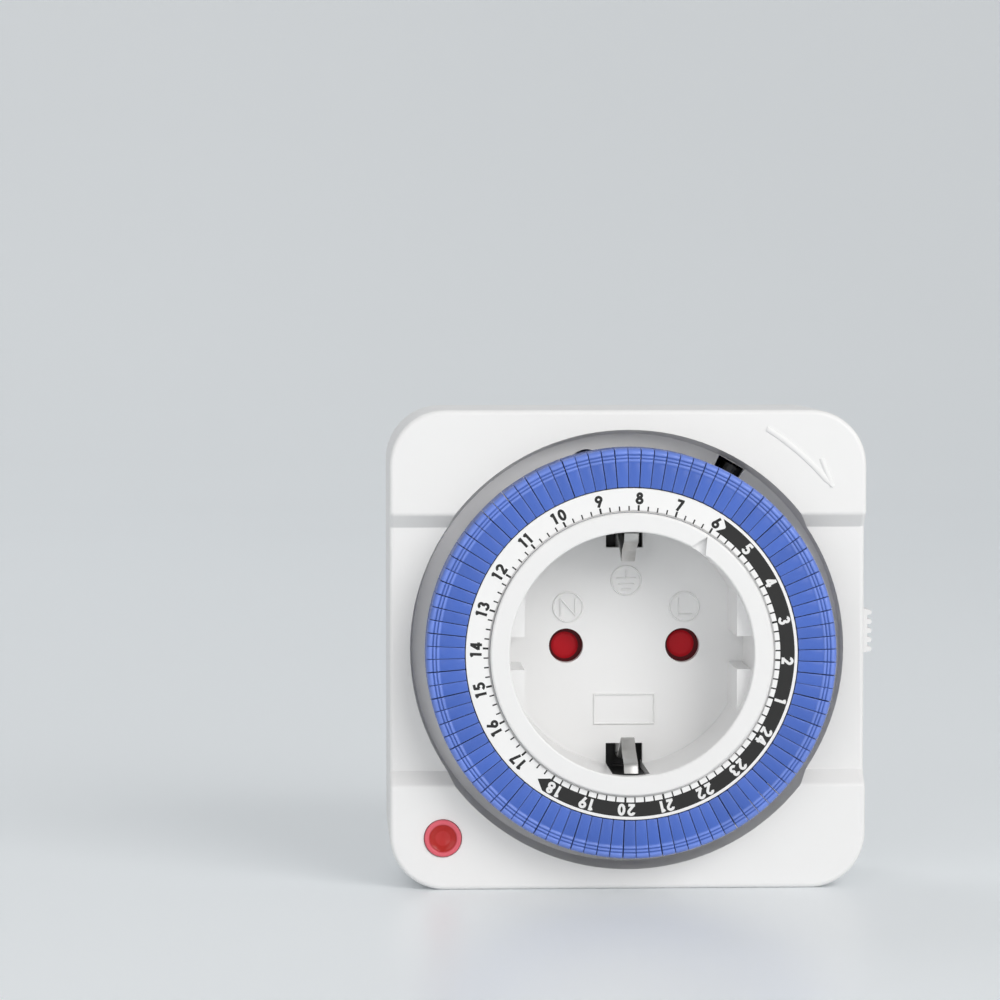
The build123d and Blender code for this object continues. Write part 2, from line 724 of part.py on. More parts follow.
# ---------------------------------------------------------------- socket insert
with BuildPart() as socket_insert:
    with BuildSketch(Plane.XY):
        turned_profile((0, cup_floor), (mouth_radius, cup_floor), (mouth_radius, rim_front),
                       (rim_radius, rim_front), (rim_radius, rim_back), (insert_radius, rim_back),
                       (insert_radius, carrier_front), (mouth_radius, carrier_front),
                       (mouth_radius, cup_back), (0, cup_back))
    revolve(axis=Axis.Y)
    rim_edges = socket_insert.edges().group_by(Axis.Y)[0].sort_by(SortBy.RADIUS)
    fillet(rim_edges[-1], rim_round)
    fillet(rim_edges[0], mouth_round)
    with BuildSketch(across(rim_front + guide_set_back)):
        Circle(mouth_radius + fit_gap)
        Rectangle(2 * guide_half_width, 3 * mouth_radius, mode=Mode.SUBTRACT)
        Rectangle(3 * mouth_radius, guide_notch, mode=Mode.SUBTRACT)
        Rectangle(3 * mouth_radius, 2 * guide_half_height, mode=Mode.INTERSECT)
    extrude(amount=-(cup_back - rim_front - guide_set_back - socket_floor / 2))
    for side in (-1, 1):
        block(-clip_slot_width / 2, clip_slot_width / 2,
              min(side * clip_slot_start, side * (insert_radius + overcut)),
              max(side * clip_slot_start, side * (insert_radius + overcut)),
              rim_back + clip_slot_set_back - rim_thickness, carrier_front + overcut, Mode.SUBTRACT)
    with BuildSketch(across(rim_front - overcut)):
        with BuildLine():
            Polyline(clock(mouth_radius - overcut, pointer_angle - pointer_half_angle),
                     clock(mouth_radius, pointer_angle - pointer_half_angle),
                     clock(pointer_tip_radius, pointer_angle),
                     clock(mouth_radius, pointer_angle + pointer_half_angle),
                     clock(mouth_radius - overcut, pointer_angle + pointer_half_angle), close=True)
        make_face()
    extrude(amount=-(pointer_depth + overcut), mode=Mode.SUBTRACT)
    posts(pins, socket_hole_radius, cup_floor - overcut, cup_back + overcut, Mode.SUBTRACT)
    posts([(0, 0)], pivot_radius, cup_floor + overcut, shutter_back + air_gap / 2)
    posts(insert_screws, small_boss_radius, cup_floor + overcut, carrier_front)
    posts(insert_screws, small_screw_radius + fit_gap, cup_floor + overcut,
          carrier_front + overcut, Mode.SUBTRACT)
finish(socket_insert, "socket_insert")

# ---------------------------------------------------------------- contact carrier
sleeve_radius = sleeve_bore + sleeve_wall
sleeve_front = carrier_back + fit_gap
sleeve_back = cup_floor + pin_length + sleeve_base + air_gap
pocket_radius = sleeve_radius + pocket_gap
pocket_back = rear_inside - pocket_room
with BuildPart() as contact_carrier:
    with BuildSketch(across(carrier_front)):
        Circle(carrier_radius)
        with Locations(*ear_places):
            Circle(carrier_ear_radius)
        for angle in carrier_ear_angles:
            with PolarLocations((carrier_radius + carrier_ear_place) / 2, 1, start_angle=90 - angle):
                Rectangle(carrier_ear_place - carrier_radius + carrier_ear_radius, 2 * carrier_ear_radius)
        with Locations((motor_x, spindle_z)):
            Circle(motor_radius + air_gap, mode=Mode.SUBTRACT)
    extrude(amount=-carrier_thickness)
    with BuildSketch(across(gear_back + air_gap)):
        Circle(insert_radius + air_gap + carrier_rim)
        Circle(insert_radius + air_gap, mode=Mode.SUBTRACT)
        with Locations((spindle_x, spindle_z)):
            Circle((wheel_teeth / 2 + tooth_tip) * wheel_module + air_gap, mode=Mode.SUBTRACT)
        with Locations((motor_x, spindle_z)):
            Circle(motor_radius + air_gap, mode=Mode.SUBTRACT)
    extrude(amount=-(carrier_front - gear_back - air_gap))
    for side in (-1, 1):
        block(-clip_slot_width / 2 + air_gap / 2, clip_slot_width / 2 - air_gap / 2,
              min(side * tongue_inner, side * (tongue_inner + tongue_thickness)),
              max(side * tongue_inner, side * (tongue_inner + tongue_thickness)),
              rim_back + clip_slot_set_back - rim_thickness + air_gap, carrier_front)
    posts(pins, pocket_radius + pocket_wall, carrier_front, pocket_back)
    posts(pins, pocket_radius, sleeve_front, pocket_back + overcut, Mode.SUBTRACT)
    posts(pins, socket_hole_radius, carrier_front - overcut, carrier_back + overcut, Mode.SUBTRACT)
    posts(ear_places + insert_screws, small_screw_radius + running_gap, carrier_front - overcut,
          carrier_back + overcut, Mode.SUBTRACT)
    posts([(0, 0)], earth_post_radius + air_gap, carrier_front - overcut, carrier_back + overcut,
          Mode.SUBTRACT)
    # A groove across the front face for the earth strap, and the way out for its two legs.
    block(-strap_width / 2 - air_gap, strap_width / 2 + air_gap, -tongue_inner + air_gap,
          tongue_inner - air_gap, carrier_front - overcut, carrier_front + strap_thickness + air_gap,
          Mode.SUBTRACT)
finish(contact_carrier, "contact_carrier")


with BuildPart() as line_contact:
    sleeve(1)
finish(line_contact, "line_contact")

with BuildPart() as neutral_contact:
    sleeve(-1)
finish(neutral_contact, "neutral_contact")

# ---------------------------------------------------------------- earth
strap_depth = carrier_front + air_gap + strap_thickness / 2
clip = [(at(clip_hook_depth), clip_hook_radius), (at(clip_lean_depth), clip_lean_radius),
        (at(clip_throat_depth), clip_throat_radius), (at(clip_apex_depth), clip_apex_radius),
        (at(cup_floor), clip_foot_radius), (at(strap_depth), clip_foot_radius)]
with BuildPart() as earth_strap:
    strap(clip + [(y, -z) for y, z in reversed(clip)], strap_bend, strap_thickness, strap_width)
finish(earth_strap, "earth_strap")

side_contact = [(-earth_lip_set_back, earth_contact_lip), (-2 * earth_lip_set_back, earth_contact_radius),
                (earth_lip_set_back - earth_cross_depth, earth_contact_radius),
                (-earth_cross_depth, plug_cavity_radius - earth_lip_set_back)]
with BuildPart() as plug_earth_contact:
    strap(side_contact + [(y, -z) for y, z in reversed(side_contact)], strap_bend, strap_thickness,
          strap_width)
    posts([(0, 0)], earth_post_radius, strap_depth + strap_thickness / 2,
          -front_y - earth_cross_depth)
finish(plug_earth_contact, "plug_earth_contact")

# ---------------------------------------------------------------- pins
plug_face_depth = housing_depth + plug_length
flange_back = plug_face_depth - plug_face_thickness
flange_front_depth = flange_back - pin_flange_thickness


def pin(side, tail_front):
    """Adds a round pin with its flange behind the plug's face, and a tail that ends at a depth."""
    place = [(side * pin_pitch / 2, 0)]
    posts(place, pin_radius, plug_face_depth, plug_face_depth + pin_length)
    posts(place, pin_root_radius, flange_back, plug_face_depth)
    posts(place, pin_flange_radius, flange_front_depth, flange_back)
    posts(place, pin_tail_radius, tail_front, flange_front_depth)


with BuildPart() as line_pin:
    pin(1, flange_front_depth - line_tail_length)
    fillet(line_pin.edges().sort_by(Axis.Y)[-1], pin_tip_round)
finish(line_pin, "line_pin")

with BuildPart() as neutral_pin:
    pin(-1, sleeve_back)
    fillet(neutral_pin.edges().sort_by(Axis.Y)[-1], pin_tip_round)
finish(neutral_pin, "neutral_pin")

with BuildPart() as pin_carrier:
    posts([(0, 0)], plug_cavity_radius - fit_gap, flange_front_depth - pin_plate_thickness,
          flange_front_depth)
    posts(pins, pin_tail_radius + running_gap, flange_front_depth - pin_plate_thickness - overcut,
          flange_front_depth + overcut, Mode.SUBTRACT)
finish(pin_carrier, "pin_carrier")

# ---------------------------------------------------------------- shutter and its spring
shutter_recess_radius = spring_coil_radius + spring_wire + air_gap
with BuildPart() as socket_shutter:
    with BuildSketch(across(shutter_front)):
        Circle(shutter_hub_radius)
        with Locations(*pins):
            Circle(shutter_wing_radius)
        Rectangle(pin_pitch, 2 * shutter_hub_radius)
        Circle(pivot_radius + running_gap, mode=Mode.SUBTRACT)
    extrude(amount=-shutter_thickness)
    posts([(0, 0)], shutter_recess_radius, shutter_back - shutter_recess, shutter_back + overcut,
          Mode.SUBTRACT)
finish(socket_shutter, "socket_shutter")

with BuildPart() as shutter_spring:
    with BuildLine() as coil:
        Helix(pitch=spring_pitch, height=spring_pitch, radius=spring_coil_radius,
              center=(0, at(shutter_back - shutter_recess) + 2 * spring_wire, 0), direction=(0, 1, 0))
    with BuildSketch(Plane(origin=coil.line @ 0, z_dir=coil.line % 0)):
        Circle(spring_wire)
    sweep(path=coil.line, is_frenet=True)
finish(shutter_spring, "shutter_spring")

# ---------------------------------------------------------------- dial
first_slot = 90 - (pointer_angle + tappet_pitch / 2)
with BuildPart() as dial_carrier:
    with BuildSketch(Plane.XY):
        turned_profile((dial_bore, ring_back), (drum_radius, ring_back), (drum_radius, flange_front),
                       (flange_radius, flange_front), (flange_radius, flange_front + flange_thickness),
                       (drum_radius - drum_wall, flange_front + flange_thickness),
                       (drum_radius - drum_wall, ring_back + top_web), (hub_radius, ring_back + top_web),
                       (hub_radius, gear_front), (gear_seat_radius, gear_front),
                       (gear_seat_radius, gear_back), (dial_bore, gear_back))
    revolve(axis=Axis.Y)
    with BuildSketch(across(flange_front - overcut)):
        with PolarLocations(prong_radius, hours * quarters, start_angle=first_slot):
            Rectangle(prong_thickness + 2 * slot_gap, prong_width + 2 * slot_gap)
    extrude(amount=-(flange_thickness + 2 * overcut), mode=Mode.SUBTRACT)
finish(dial_carrier, "dial_carrier")

with BuildPart() as number_ring:
    with BuildSketch(across(ring_front)):
        Circle(number_ring_radius)
        Circle(number_ring_bore, mode=Mode.SUBTRACT)
    extrude(amount=-number_ring_thickness)
    fillet(number_ring.edges().group_by(Axis.Y)[0], fit_gap * 2)
finish(number_ring, "number_ring")

with BuildPart() as dial_gear:
    with BuildSketch(across(gear_front)):
        draw_gear(dial_teeth, dial_module, 90 - train_angle + 180 / dial_teeth, tooth_root_width,
                  tooth_tip_width)
        Circle(gear_seat_radius + fit_gap, mode=Mode.SUBTRACT)
    extrude(amount=-gear_thickness)
finish(dial_gear, "dial_gear")

# ---------------------------------------------------------------- tappets, four to an hour
cap_front = -tappet_proud
cap_back = cap_front + cap_thickness
tappet_profile = [(tappet_inner_radius, cap_back), (tappet_inner_radius, cap_front + cap_chamfer),
                  (tappet_inner_radius + cap_chamfer, cap_front)]
for groove in range(ridge_count):
    groove_radius = ridge_start_radius + groove * ridge_pitch
    tappet_profile += [(groove_radius - groove_width / 2, cap_front),
                       (groove_radius, cap_front + groove_depth),
                       (groove_radius + groove_width / 2, cap_front)]
tappet_profile += [(tappet_radius - cap_chamfer, cap_front), (tappet_radius, cap_front + cap_chamfer),
                   (tappet_radius, skirt_end), (skirt_inner_radius, skirt_end),
                   (skirt_inner_radius, cap_back)]
prong_profile = [(prong_radius - prong_thickness / 2, cap_back - cap_thickness / 2),
                 (prong_radius + prong_thickness / 2, cap_back - cap_thickness / 2),
                 (prong_radius + prong_thickness / 2, cap_back + prong_length),
                 (prong_radius - prong_thickness / 2, cap_back + prong_length)]
prong_angle = prong_width / prong_radius * 180 / pi
for hour in range(1, hours + 1):
    # The four quarters of an hour lie clockwise of that hour's mark.
    hour_start = pointer_angle + hour_angle * (shown_hour - hour)
    with BuildPart() as tappets:
        for quarter in range(quarters):
            middle = hour_start + tappet_pitch * (quarter + 0.5)
            with BuildSketch(half_plane(middle - (tappet_pitch - tappet_gap_angle) / 2)):
                turned_profile(*tappet_profile)
            revolve(axis=Axis.Y, revolution_arc=tappet_pitch - tappet_gap_angle)
            with BuildSketch(half_plane(middle - prong_angle / 2)):
                turned_profile(*prong_profile)
            revolve(axis=Axis.Y, revolution_arc=prong_angle)
    finish(tappets, f"tappets_hour_{hour:02d}")

# ---------------------------------------------------------------- gear train and motor
with BuildPart() as reduction_gear:
    with BuildSketch(across(gear_front)):
        with Locations((spindle_x, spindle_z)):
            draw_gear(pinion_teeth, dial_module, 270 - train_angle, pinion_root_width, pinion_tip_width)
    extrude(amount=-gear_thickness)
    posts([(spindle_x, spindle_z)], spindle_head_radius + spindle_radius, gear_back, wheel_front)
    with BuildSketch(across(wheel_front)):
        with Locations((spindle_x, spindle_z)):
            draw_gear(wheel_teeth, wheel_module, 180 + 180 / wheel_teeth, tooth_root_width, tooth_tip_width)
    extrude(amount=-wheel_thickness)
    posts([(spindle_x, spindle_z)], spindle_radius + running_gap, gear_front - overcut, wheel_back + overcut,
          Mode.SUBTRACT)
finish(reduction_gear, "reduction_gear")

with BuildPart() as gear_spindle:
    head_front = gear_front - running_gap - spindle_head
    posts([(spindle_x, spindle_z)], spindle_head_radius, head_front, head_front + spindle_head)
    posts([(spindle_x, spindle_z)], spindle_radius, head_front, motor_front)
finish(gear_spindle, "gear_spindle")

with BuildPart() as motor_bracket:
    with BuildSketch(across(bracket_front)):
        with Locations(((bracket_left_x + bracket_right_x) / 2, (bracket_low_z + bracket_high_z) / 2)):
            RectangleRounded(bracket_right_x - bracket_left_x, bracket_high_z - bracket_low_z, bracket_round)
    extrude(amount=-bracket_thickness)
    posts([(motor_x, spindle_z)], 2 * shaft_radius, bracket_front - overcut, motor_front + overcut,
          Mode.SUBTRACT)
    posts([(spindle_x, spindle_z)], spindle_radius + fit_gap, bracket_front - overcut, motor_front + overcut,
          Mode.SUBTRACT)
    posts(bracket_screws + motor_screws, small_screw_radius + running_gap, bracket_front - overcut,
          motor_front + overcut, Mode.SUBTRACT)
finish(motor_bracket, "motor_bracket")

with BuildPart() as motor_case:
    posts([(motor_x, spindle_z)], motor_radius, motor_front, motor_back)
    posts([(motor_x, spindle_z)], motor_radius - motor_skin, motor_front + motor_skin,
          motor_back - motor_skin, Mode.SUBTRACT)
    posts([(motor_x, spindle_z)], shaft_radius + running_gap, motor_front - overcut,
          motor_front + motor_skin + overcut, Mode.SUBTRACT)
    posts(motor_screws, small_screw_radius + fit_gap, motor_front - overcut,
          motor_front + motor_skin + overcut, Mode.SUBTRACT)
finish(motor_case, "motor_case")

with BuildPart() as motor_rotor:
    posts([(motor_x, spindle_z)], rotor_radius, motor_front + motor_skin + rotor_end_gap,
          motor_back - motor_skin - air_gap)
    posts([(motor_x, spindle_z)], shaft_radius, wheel_front, motor_back - motor_skin - rotor_end_gap)
    with BuildSketch(across(wheel_front)):
        with Locations((motor_x, spindle_z)):
            draw_gear(motor_teeth, wheel_module, 0, pinion_root_width, pinion_tip_width)
    extrude(amount=-wheel_thickness)
finish(motor_rotor, "motor_rotor")

# ---------------------------------------------------------------- feeler and microswitch
nose_half = nose_width / 2
lever_back = lever_front + lever_thickness
with BuildPart() as feeler_lever:
    with BuildSketch(feeler_side(lever_inner)):
        with BuildLine():
            Polyline((-nose_half, at(nose_front + nose_round)), (nose_round - nose_half, at(nose_front)),
                     (nose_half - nose_round, at(nose_front)), (nose_half, at(nose_front + nose_round)),
                     (nose_half, at(lever_front)), (lever_tail, at(lever_front)),
                     (lever_tail, at(lever_back)), (-nose_half, at(lever_back)), close=True)
        make_face()
        with Locations((lever_arm, at(pivot_depth))):
            Circle(lever_hub_radius)
            Circle(feeler_pin_radius + running_gap, mode=Mode.SUBTRACT)
    extrude(amount=lever_width)
finish(feeler_lever, "feeler_lever")

with BuildPart() as feeler_pin:
    with BuildSketch(feeler_side(ear_inner_end - ear_thickness)):
        with Locations((lever_arm, at(pivot_depth))):
            Circle(feeler_pin_radius)
    extrude(amount=ear_outer_start - ear_inner_end + 2 * ear_thickness)
finish(feeler_pin, "feeler_pin")

with BuildPart() as feeler_spring:
    with BuildLine() as coil:
        Helix(pitch=spring_pitch, height=feeler_spring_turns * spring_pitch, radius=spring_radius,
              center=feeler_point(lever_arm, ear_inner_end + 2 * spring_wire, pivot_depth),
              direction=feeler_side(0).z_dir)
    with BuildSketch(Plane(origin=coil.line @ 0, z_dir=coil.line % 0)):
        Circle(spring_wire)
    sweep(path=coil.line, is_frenet=True)
finish(feeler_spring, "feeler_spring")

switch_back = rear_inside - switch_room
switch_middle = switch_start + switch_length / 2
plunger_front = lever_back + air_gap
plunger_length = (switch_front + switch_back) / 2 - plunger_front
with BuildPart() as switch_case:
    feeler_block(switch_middle, switch_out, switch_length, switch_width, switch_front, switch_back)
    feeler_block(switch_middle, switch_out, switch_length - 2 * switch_skin, switch_width - 2 * switch_skin,
                 switch_front + switch_skin, switch_back - switch_skin, Mode.SUBTRACT)
    with BuildSketch(feeler_across(switch_front - overcut)):
        with Locations((plunger_place, switch_out)):
            Circle(plunger_radius + running_gap)
    extrude(amount=-(switch_skin + 2 * overcut), mode=Mode.SUBTRACT)
finish(switch_case, "switch_case")

with BuildPart() as switch_plunger:
    with BuildSketch(feeler_across(plunger_front)):
        with Locations((plunger_place, switch_out)):
            Circle(plunger_radius)
    extrude(amount=-plunger_length)
    with BuildSketch(feeler_across(switch_front + switch_skin + plunger_play)):
        with Locations((plunger_place, switch_out)):
            Circle(plunger_collar)
    extrude(amount=-plunger_collar_height)
finish(switch_plunger, "switch_plunger")

with BuildPart() as switch_terminals:
    for place in terminal_places:
        feeler_block(place, switch_out, terminal_thickness, terminal_width, switch_back,
                     switch_back + terminal_length)
finish(switch_terminals, "switch_terminals")

# ---------------------------------------------------------------- override slider
slide_outer = wall_inside - air_gap
slide_inner = slide_outer - slide_plate_thickness
knob_base = housing_width / 2 - knob_recess + air_gap / 2
knob_top = housing_width / 2 + knob_reach
finger_front = lever_back + air_gap + running_gap
with BuildPart() as override_slider:
    block(slide_inner, slide_outer, knob_rest - slide_plate_length / 2, knob_rest + slide_plate_length / 2,
          knob_depth - slide_plate_width / 2, knob_depth + slide_plate_width / 2)
    block(slide_inner, slide_outer, knob_rest, slide_arm_top, finger_front, finger_front + slide_arm_width)
    block(slide_outer - slide_finger_reach, slide_outer, slide_arm_top - slide_finger_height, slide_arm_top,
          finger_front, finger_front + slide_arm_width)
    block(slide_outer, knob_base, knob_rest - neck_length / 2, knob_rest + neck_length / 2,
          knob_depth - neck_width / 2, knob_depth + neck_width / 2)
    with BuildSketch(across(knob_depth - knob_width / 2)):
        with Locations(((knob_base + knob_top - knob_rib_height) / 2, knob_rest)):
            Rectangle(knob_top - knob_rib_height - knob_base, knob_length)
        with Locations((knob_top - knob_rib_height, knob_rest)):
            with GridLocations(1, knob_rib_pitch, 1, knob_ribs):
                RectangleRounded(2 * knob_rib_height, knob_rib_width, knob_rib_round)
    extrude(amount=-knob_width)
finish(override_slider, "override_slider")

leaf_x = slide_inner - air_gap - leaf_bulge - leaf_thickness / 2
with BuildPart() as slider_spring:
    with BuildSketch(across(knob_depth - leaf_width / 2)):
        with BuildLine():
            ThreePointArc((leaf_x, -leaf_half_length), (leaf_x + leaf_bulge, 0), (leaf_x, leaf_half_length))
        trace(line_width=leaf_thickness)
    extrude(amount=-leaf_width)
finish(slider_spring, "slider_spring")

# ---------------------------------------------------------------- pilot lamp
lens_front = -lens_proud
with BuildPart() as lamp_lens:
    with BuildSketch(Plane(origin=(lamp_x, 0, lamp_z), x_dir=(1, 0, 0), z_dir=(0, 0, 1))):
        turned_profile((0, lens_front + lens_dish), (lens_dish_radius - lens_dish, lens_front + lens_dish),
                       (lens_dish_radius, lens_front), (lens_radius - lens_chamfer, lens_front),
                       (lens_radius, lens_front + lens_chamfer), (lens_radius, wall + fit_gap),
                       (lens_radius + lens_flange, wall + fit_gap),
                       (lens_radius + lens_flange, wall + fit_gap + lens_flange_thickness),
                       (bulb_radius, wall + fit_gap + lens_flange_thickness), (bulb_radius, lens_length),
                       (0, lens_length))
    revolve(axis=Axis((lamp_x, 0, lamp_z), (0, 1, 0)))
finish(lamp_lens, "lamp_lens")

bulb_front = lens_length + air_gap
bulb_back = bulb_front + bulb_length
wire_depth = bulb_back + 2 * thin_wire_bend
resistor_back = loom_depth - thin_wire_bend
resistor_front = resistor_back - resistor_length
tab_front = sleeve_back - sleeve_base
tab_wire = tab_reach - lead_radius
wire_side = lead_radius + thin_wire
with BuildPart() as neon_lamp:
    posts([(lamp_x, lamp_z)], bulb_radius, bulb_front, bulb_back)
    fillet(neon_lamp.edges().sort_by(Axis.Y)[0], bulb_radius - running_gap)
    wire([(lamp_x, at(bulb_back), lamp_z), (lamp_x, at(wire_depth + bulb_wire_run), lamp_z),
          *way(bulb_route), *way([(tab_wire, *bulb_tab_point)]),
          (tab_wire, at(tab_front - thin_wire), -wire_side)], thin_wire, thin_wire_bend)
finish(neon_lamp, "neon_lamp")

with BuildPart() as lamp_resistor:
    posts([(resistor_x, resistor_z)], resistor_radius, resistor_front, resistor_back)
    wire([(resistor_x, at(resistor_front), resistor_z), (resistor_x, at(wire_depth), resistor_z),
          (lamp_x + thin_wire, at(wire_depth), lamp_z + 4 * thin_wire)], thin_wire, thin_wire)
    wire([(resistor_x, at(resistor_back), resistor_z),
          (resistor_x, at(resistor_back + resistor_wire_run), resistor_z), *way(resistor_route),
          (-tab_wire, at(tab_front - thin_wire), -wire_side)], thin_wire, thin_wire_bend)
finish(lamp_resistor, "lamp_resistor")

# ---------------------------------------------------------------- insulated leads
terminal_in = switch_out - terminal_width / 2 - solder_gap
terminal_out = switch_out + terminal_width / 2 + solder_gap
lead_depth = switch_back + terminal_length - 2 * lead_radius
motor_entry_depth = lead_depth + lead_radius
tab_lead = at(tab_front - lead_radius)
with BuildPart() as switch_leads:
    wire([(pin_pitch / 2, at(flange_front_depth - line_tail_length), 0),
          *way([(pin_pitch / 2, pin_lead_front, 0), (pin_pitch / 2, *pin_lead_turn)]), *way(pin_lead_route),
          feeler_point(terminal_places[0], terminal_in, lead_depth)], lead_radius, lead_bend)
    wire([(tab_lead_x, tab_lead, 0), *way(line_lead_route),
          feeler_point(terminal_places[1], terminal_in, lead_depth)], lead_radius, lead_bend)
finish(switch_leads, "switch_leads")

with BuildPart() as motor_leads:
    wire([(-tab_lead_x, tab_lead, 0), *way(neutral_lead_route),
          motor_side(neutral_entry, motor_lead_run, motor_entry_depth),
          motor_side(neutral_entry, 0, motor_entry_depth)], lead_radius, lead_bend)
    wire([feeler_point(terminal_places[0], terminal_out, lead_depth), *way(motor_lead_route),
          motor_side(line_entry, motor_lead_run, motor_entry_depth),
          motor_side(line_entry, 0, motor_entry_depth)], lead_radius, lead_bend)
finish(motor_leads, "motor_leads")
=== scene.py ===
"""Dresses the packed plug-in timer: finishes, print, and finer pieces over some of its CAD nodes.

Points are in metres in the packed model's frame: the dial faces -Y, the plug's pins point along +Y
and +Z is up. Inside the functions sizes are in millimetres, and a depth is measured backwards from
the front of the housing, as on a drawing. A clock angle runs clockwise from the top, seen from the
front.
"""

import json

import bmesh
import bpy
import numpy as np
from bpy.props import FloatProperty, FloatVectorProperty, PointerProperty
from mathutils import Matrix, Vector


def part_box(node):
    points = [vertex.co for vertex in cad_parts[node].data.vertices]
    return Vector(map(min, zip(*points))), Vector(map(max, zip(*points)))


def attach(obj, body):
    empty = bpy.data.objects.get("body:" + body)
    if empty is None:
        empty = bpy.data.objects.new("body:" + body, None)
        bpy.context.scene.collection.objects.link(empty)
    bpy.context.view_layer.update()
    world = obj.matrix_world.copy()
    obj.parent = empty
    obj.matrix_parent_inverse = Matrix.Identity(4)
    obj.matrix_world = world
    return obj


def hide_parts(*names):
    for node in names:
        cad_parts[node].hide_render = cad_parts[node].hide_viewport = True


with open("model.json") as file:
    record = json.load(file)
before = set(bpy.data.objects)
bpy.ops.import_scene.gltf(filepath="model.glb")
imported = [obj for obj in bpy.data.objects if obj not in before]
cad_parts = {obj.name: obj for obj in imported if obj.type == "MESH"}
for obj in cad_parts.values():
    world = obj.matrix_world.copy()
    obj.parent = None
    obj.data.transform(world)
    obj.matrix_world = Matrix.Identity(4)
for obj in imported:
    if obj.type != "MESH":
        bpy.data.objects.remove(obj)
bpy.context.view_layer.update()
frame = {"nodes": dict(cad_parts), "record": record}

bl_info = {
    "name": "Plug-in timer",
    "version": (1, 0, 0),
    "blender": (4, 5, 0),
    "location": "3D View > Sidebar > Timer",
    "description": "Dresses a packed plug-in timer with its finishes, tappets and printed dial",
    "category": "Object",
}

HOUSING_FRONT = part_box("front_housing")[0][1] * 1000


def front_depth(node):
    """How deep the foremost point of a CAD node lies."""
    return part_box(node)[0][1] * 1000 - HOUSING_FRONT


def back_depth(node):
    """How deep the rearmost point of a CAD node lies."""
    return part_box(node)[1][1] * 1000 - HOUSING_FRONT


TAPPET_FRONT = front_depth("tappets_hour_06")
RING_FRONT = front_depth("number_ring")
SHUTTER_FRONT = front_depth("socket_shutter")
STRAP_DEPTH = back_depth("earth_strap") - 0.3   # the middle of the strip's thickness
LENS_LOW, LENS_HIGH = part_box("lamp_lens")
LENS_X = (LENS_LOW[0] + LENS_HIGH[0]) * 500
LENS_Z = (LENS_LOW[2] + LENS_HIGH[2]) * 500
BASE_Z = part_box("rear_cover")[0][2]
CUP_FLOOR = 9.0         # depth of the socket's floor
PIN_PITCH = 19.0
POINTER_ANGLE = 32.5    # clock angle of the pointer
POINTER_HOUR = 6        # the hour that stands at it
HOURS = 24
QUARTERS = 4
HOUR_STEP = 360.0 / HOURS
QUARTER_STEP = HOUR_STEP / QUARTERS
NIGHT_START, NIGHT_END = 18, 6      # the hours between which the night band runs
BAND_START, BAND_END = 36.8, 217.2  # clock angles of the band's pointed ends
MARK_ROOT = 0.1         # how deep a raised mark reaches into what it stands on
STROKE_STEP = 0.003     # strokes that cross lie this much under each other
GRAIN_SIZE = 4200.0     # scale of the moulded plastics' grain
MOULDED, DRAWN = "Moulded surface", "Drawn metal"   # the shared node groups
FINISH = "_finish"      # ends each finish's name, because the packed slots have the plain names
SLOT_FINISHES = {"white_slider": "white_housing"}   # slots that wear another slot's finish


# ------------------------------------------------------------------ shapes on grids
def clock_place(radius, angle):
    """Flat places at a radius and a clock angle: radius times sine, and radius times cosine."""
    turn = np.radians(angle)
    return np.stack([radius * np.sin(turn), radius * np.cos(turn)], -1)


def clock_point(radius, angle, depth):
    """The point at a radius, a clock angle and a depth: x is radius times sine, z times cosine."""
    radius, angle, depth = np.broadcast_arrays(*np.atleast_1d(radius, angle, depth))
    place = clock_place(radius, angle)
    return flat_point(place[..., 0], place[..., 1], depth)


def flat_point(x, z, depth):
    """The point at an x, a z and a depth, all in millimetres."""
    x, z, depth = np.broadcast_arrays(*np.atleast_1d(x, z, depth))
    return np.stack([x, HOUSING_FRONT + depth, z], -1) / 1000


def grid_faces(rows, columns, wrap_rows=False, wrap_columns=False):
    """Four-cornered faces of a grid, wrapping round if asked.

    The corners of one are (i, j), (i+1, j), (i+1, j+1) and (i, j+1).
    """
    i = np.arange(rows if wrap_rows else rows - 1)[:, None]
    j = np.arange(columns if wrap_columns else columns - 1)[None, :]
    below = (i + 1) % rows
    beside = (j + 1) % columns
    corners = [i * columns + j, below * columns + j, below * columns + beside, i * columns + beside]
    return np.stack(np.broadcast_arrays(*corners), -1).reshape(-1, 4)


def end_faces(rows, columns):
    """A many-sided face over the first row of a grid and one over its last, facing apart."""
    row = np.arange(columns)
    return np.stack([row, row[::-1] + (rows - 1) * columns])


def mesh_object(name, points, faces, smooth=True):
    """An object at the origin from points in metres and lists of equal-sided faces."""
    mesh = bpy.data.meshes.new(name)
    points = np.asarray(points, np.float32).reshape(-1, 3)
    mesh.vertices.add(len(points))
    mesh.vertices.foreach_set("co", points.ravel())
    sides = np.concatenate([np.full(len(group), group.shape[1]) for group in faces])
    corners = np.concatenate([group.ravel() for group in faces])
    mesh.loops.add(len(corners))
    mesh.loops.foreach_set("vertex_index", corners.astype(np.int32))
    mesh.polygons.add(len(sides))
    mesh.polygons.foreach_set("loop_start", (np.cumsum(sides) - sides).astype(np.int32))
    mesh.update(calc_edges=True)
    mesh.validate()
    mesh.polygons.foreach_set("use_smooth", np.full(len(mesh.polygons), smooth))
    piece = bpy.data.objects.new(name, mesh)
    bpy.context.scene.collection.objects.link(piece)
    return piece


def closed_poles(piece):
    """Merges the points that lie on each other at a pole, and turns the faces outwards."""
    work = bmesh.new()
    work.from_mesh(piece.data)
    bmesh.ops.remove_doubles(work, verts=work.verts, dist=1e-7)
    bmesh.ops.recalc_face_normals(work, faces=work.faces)
    work.to_mesh(piece.data)
    work.free()


def keep_edges_sharp(piece, angle):
    """Edges sharper than an angle in degrees keep their line under smooth shading."""
    piece.data.set_sharp_from_angle(angle=np.radians(angle))


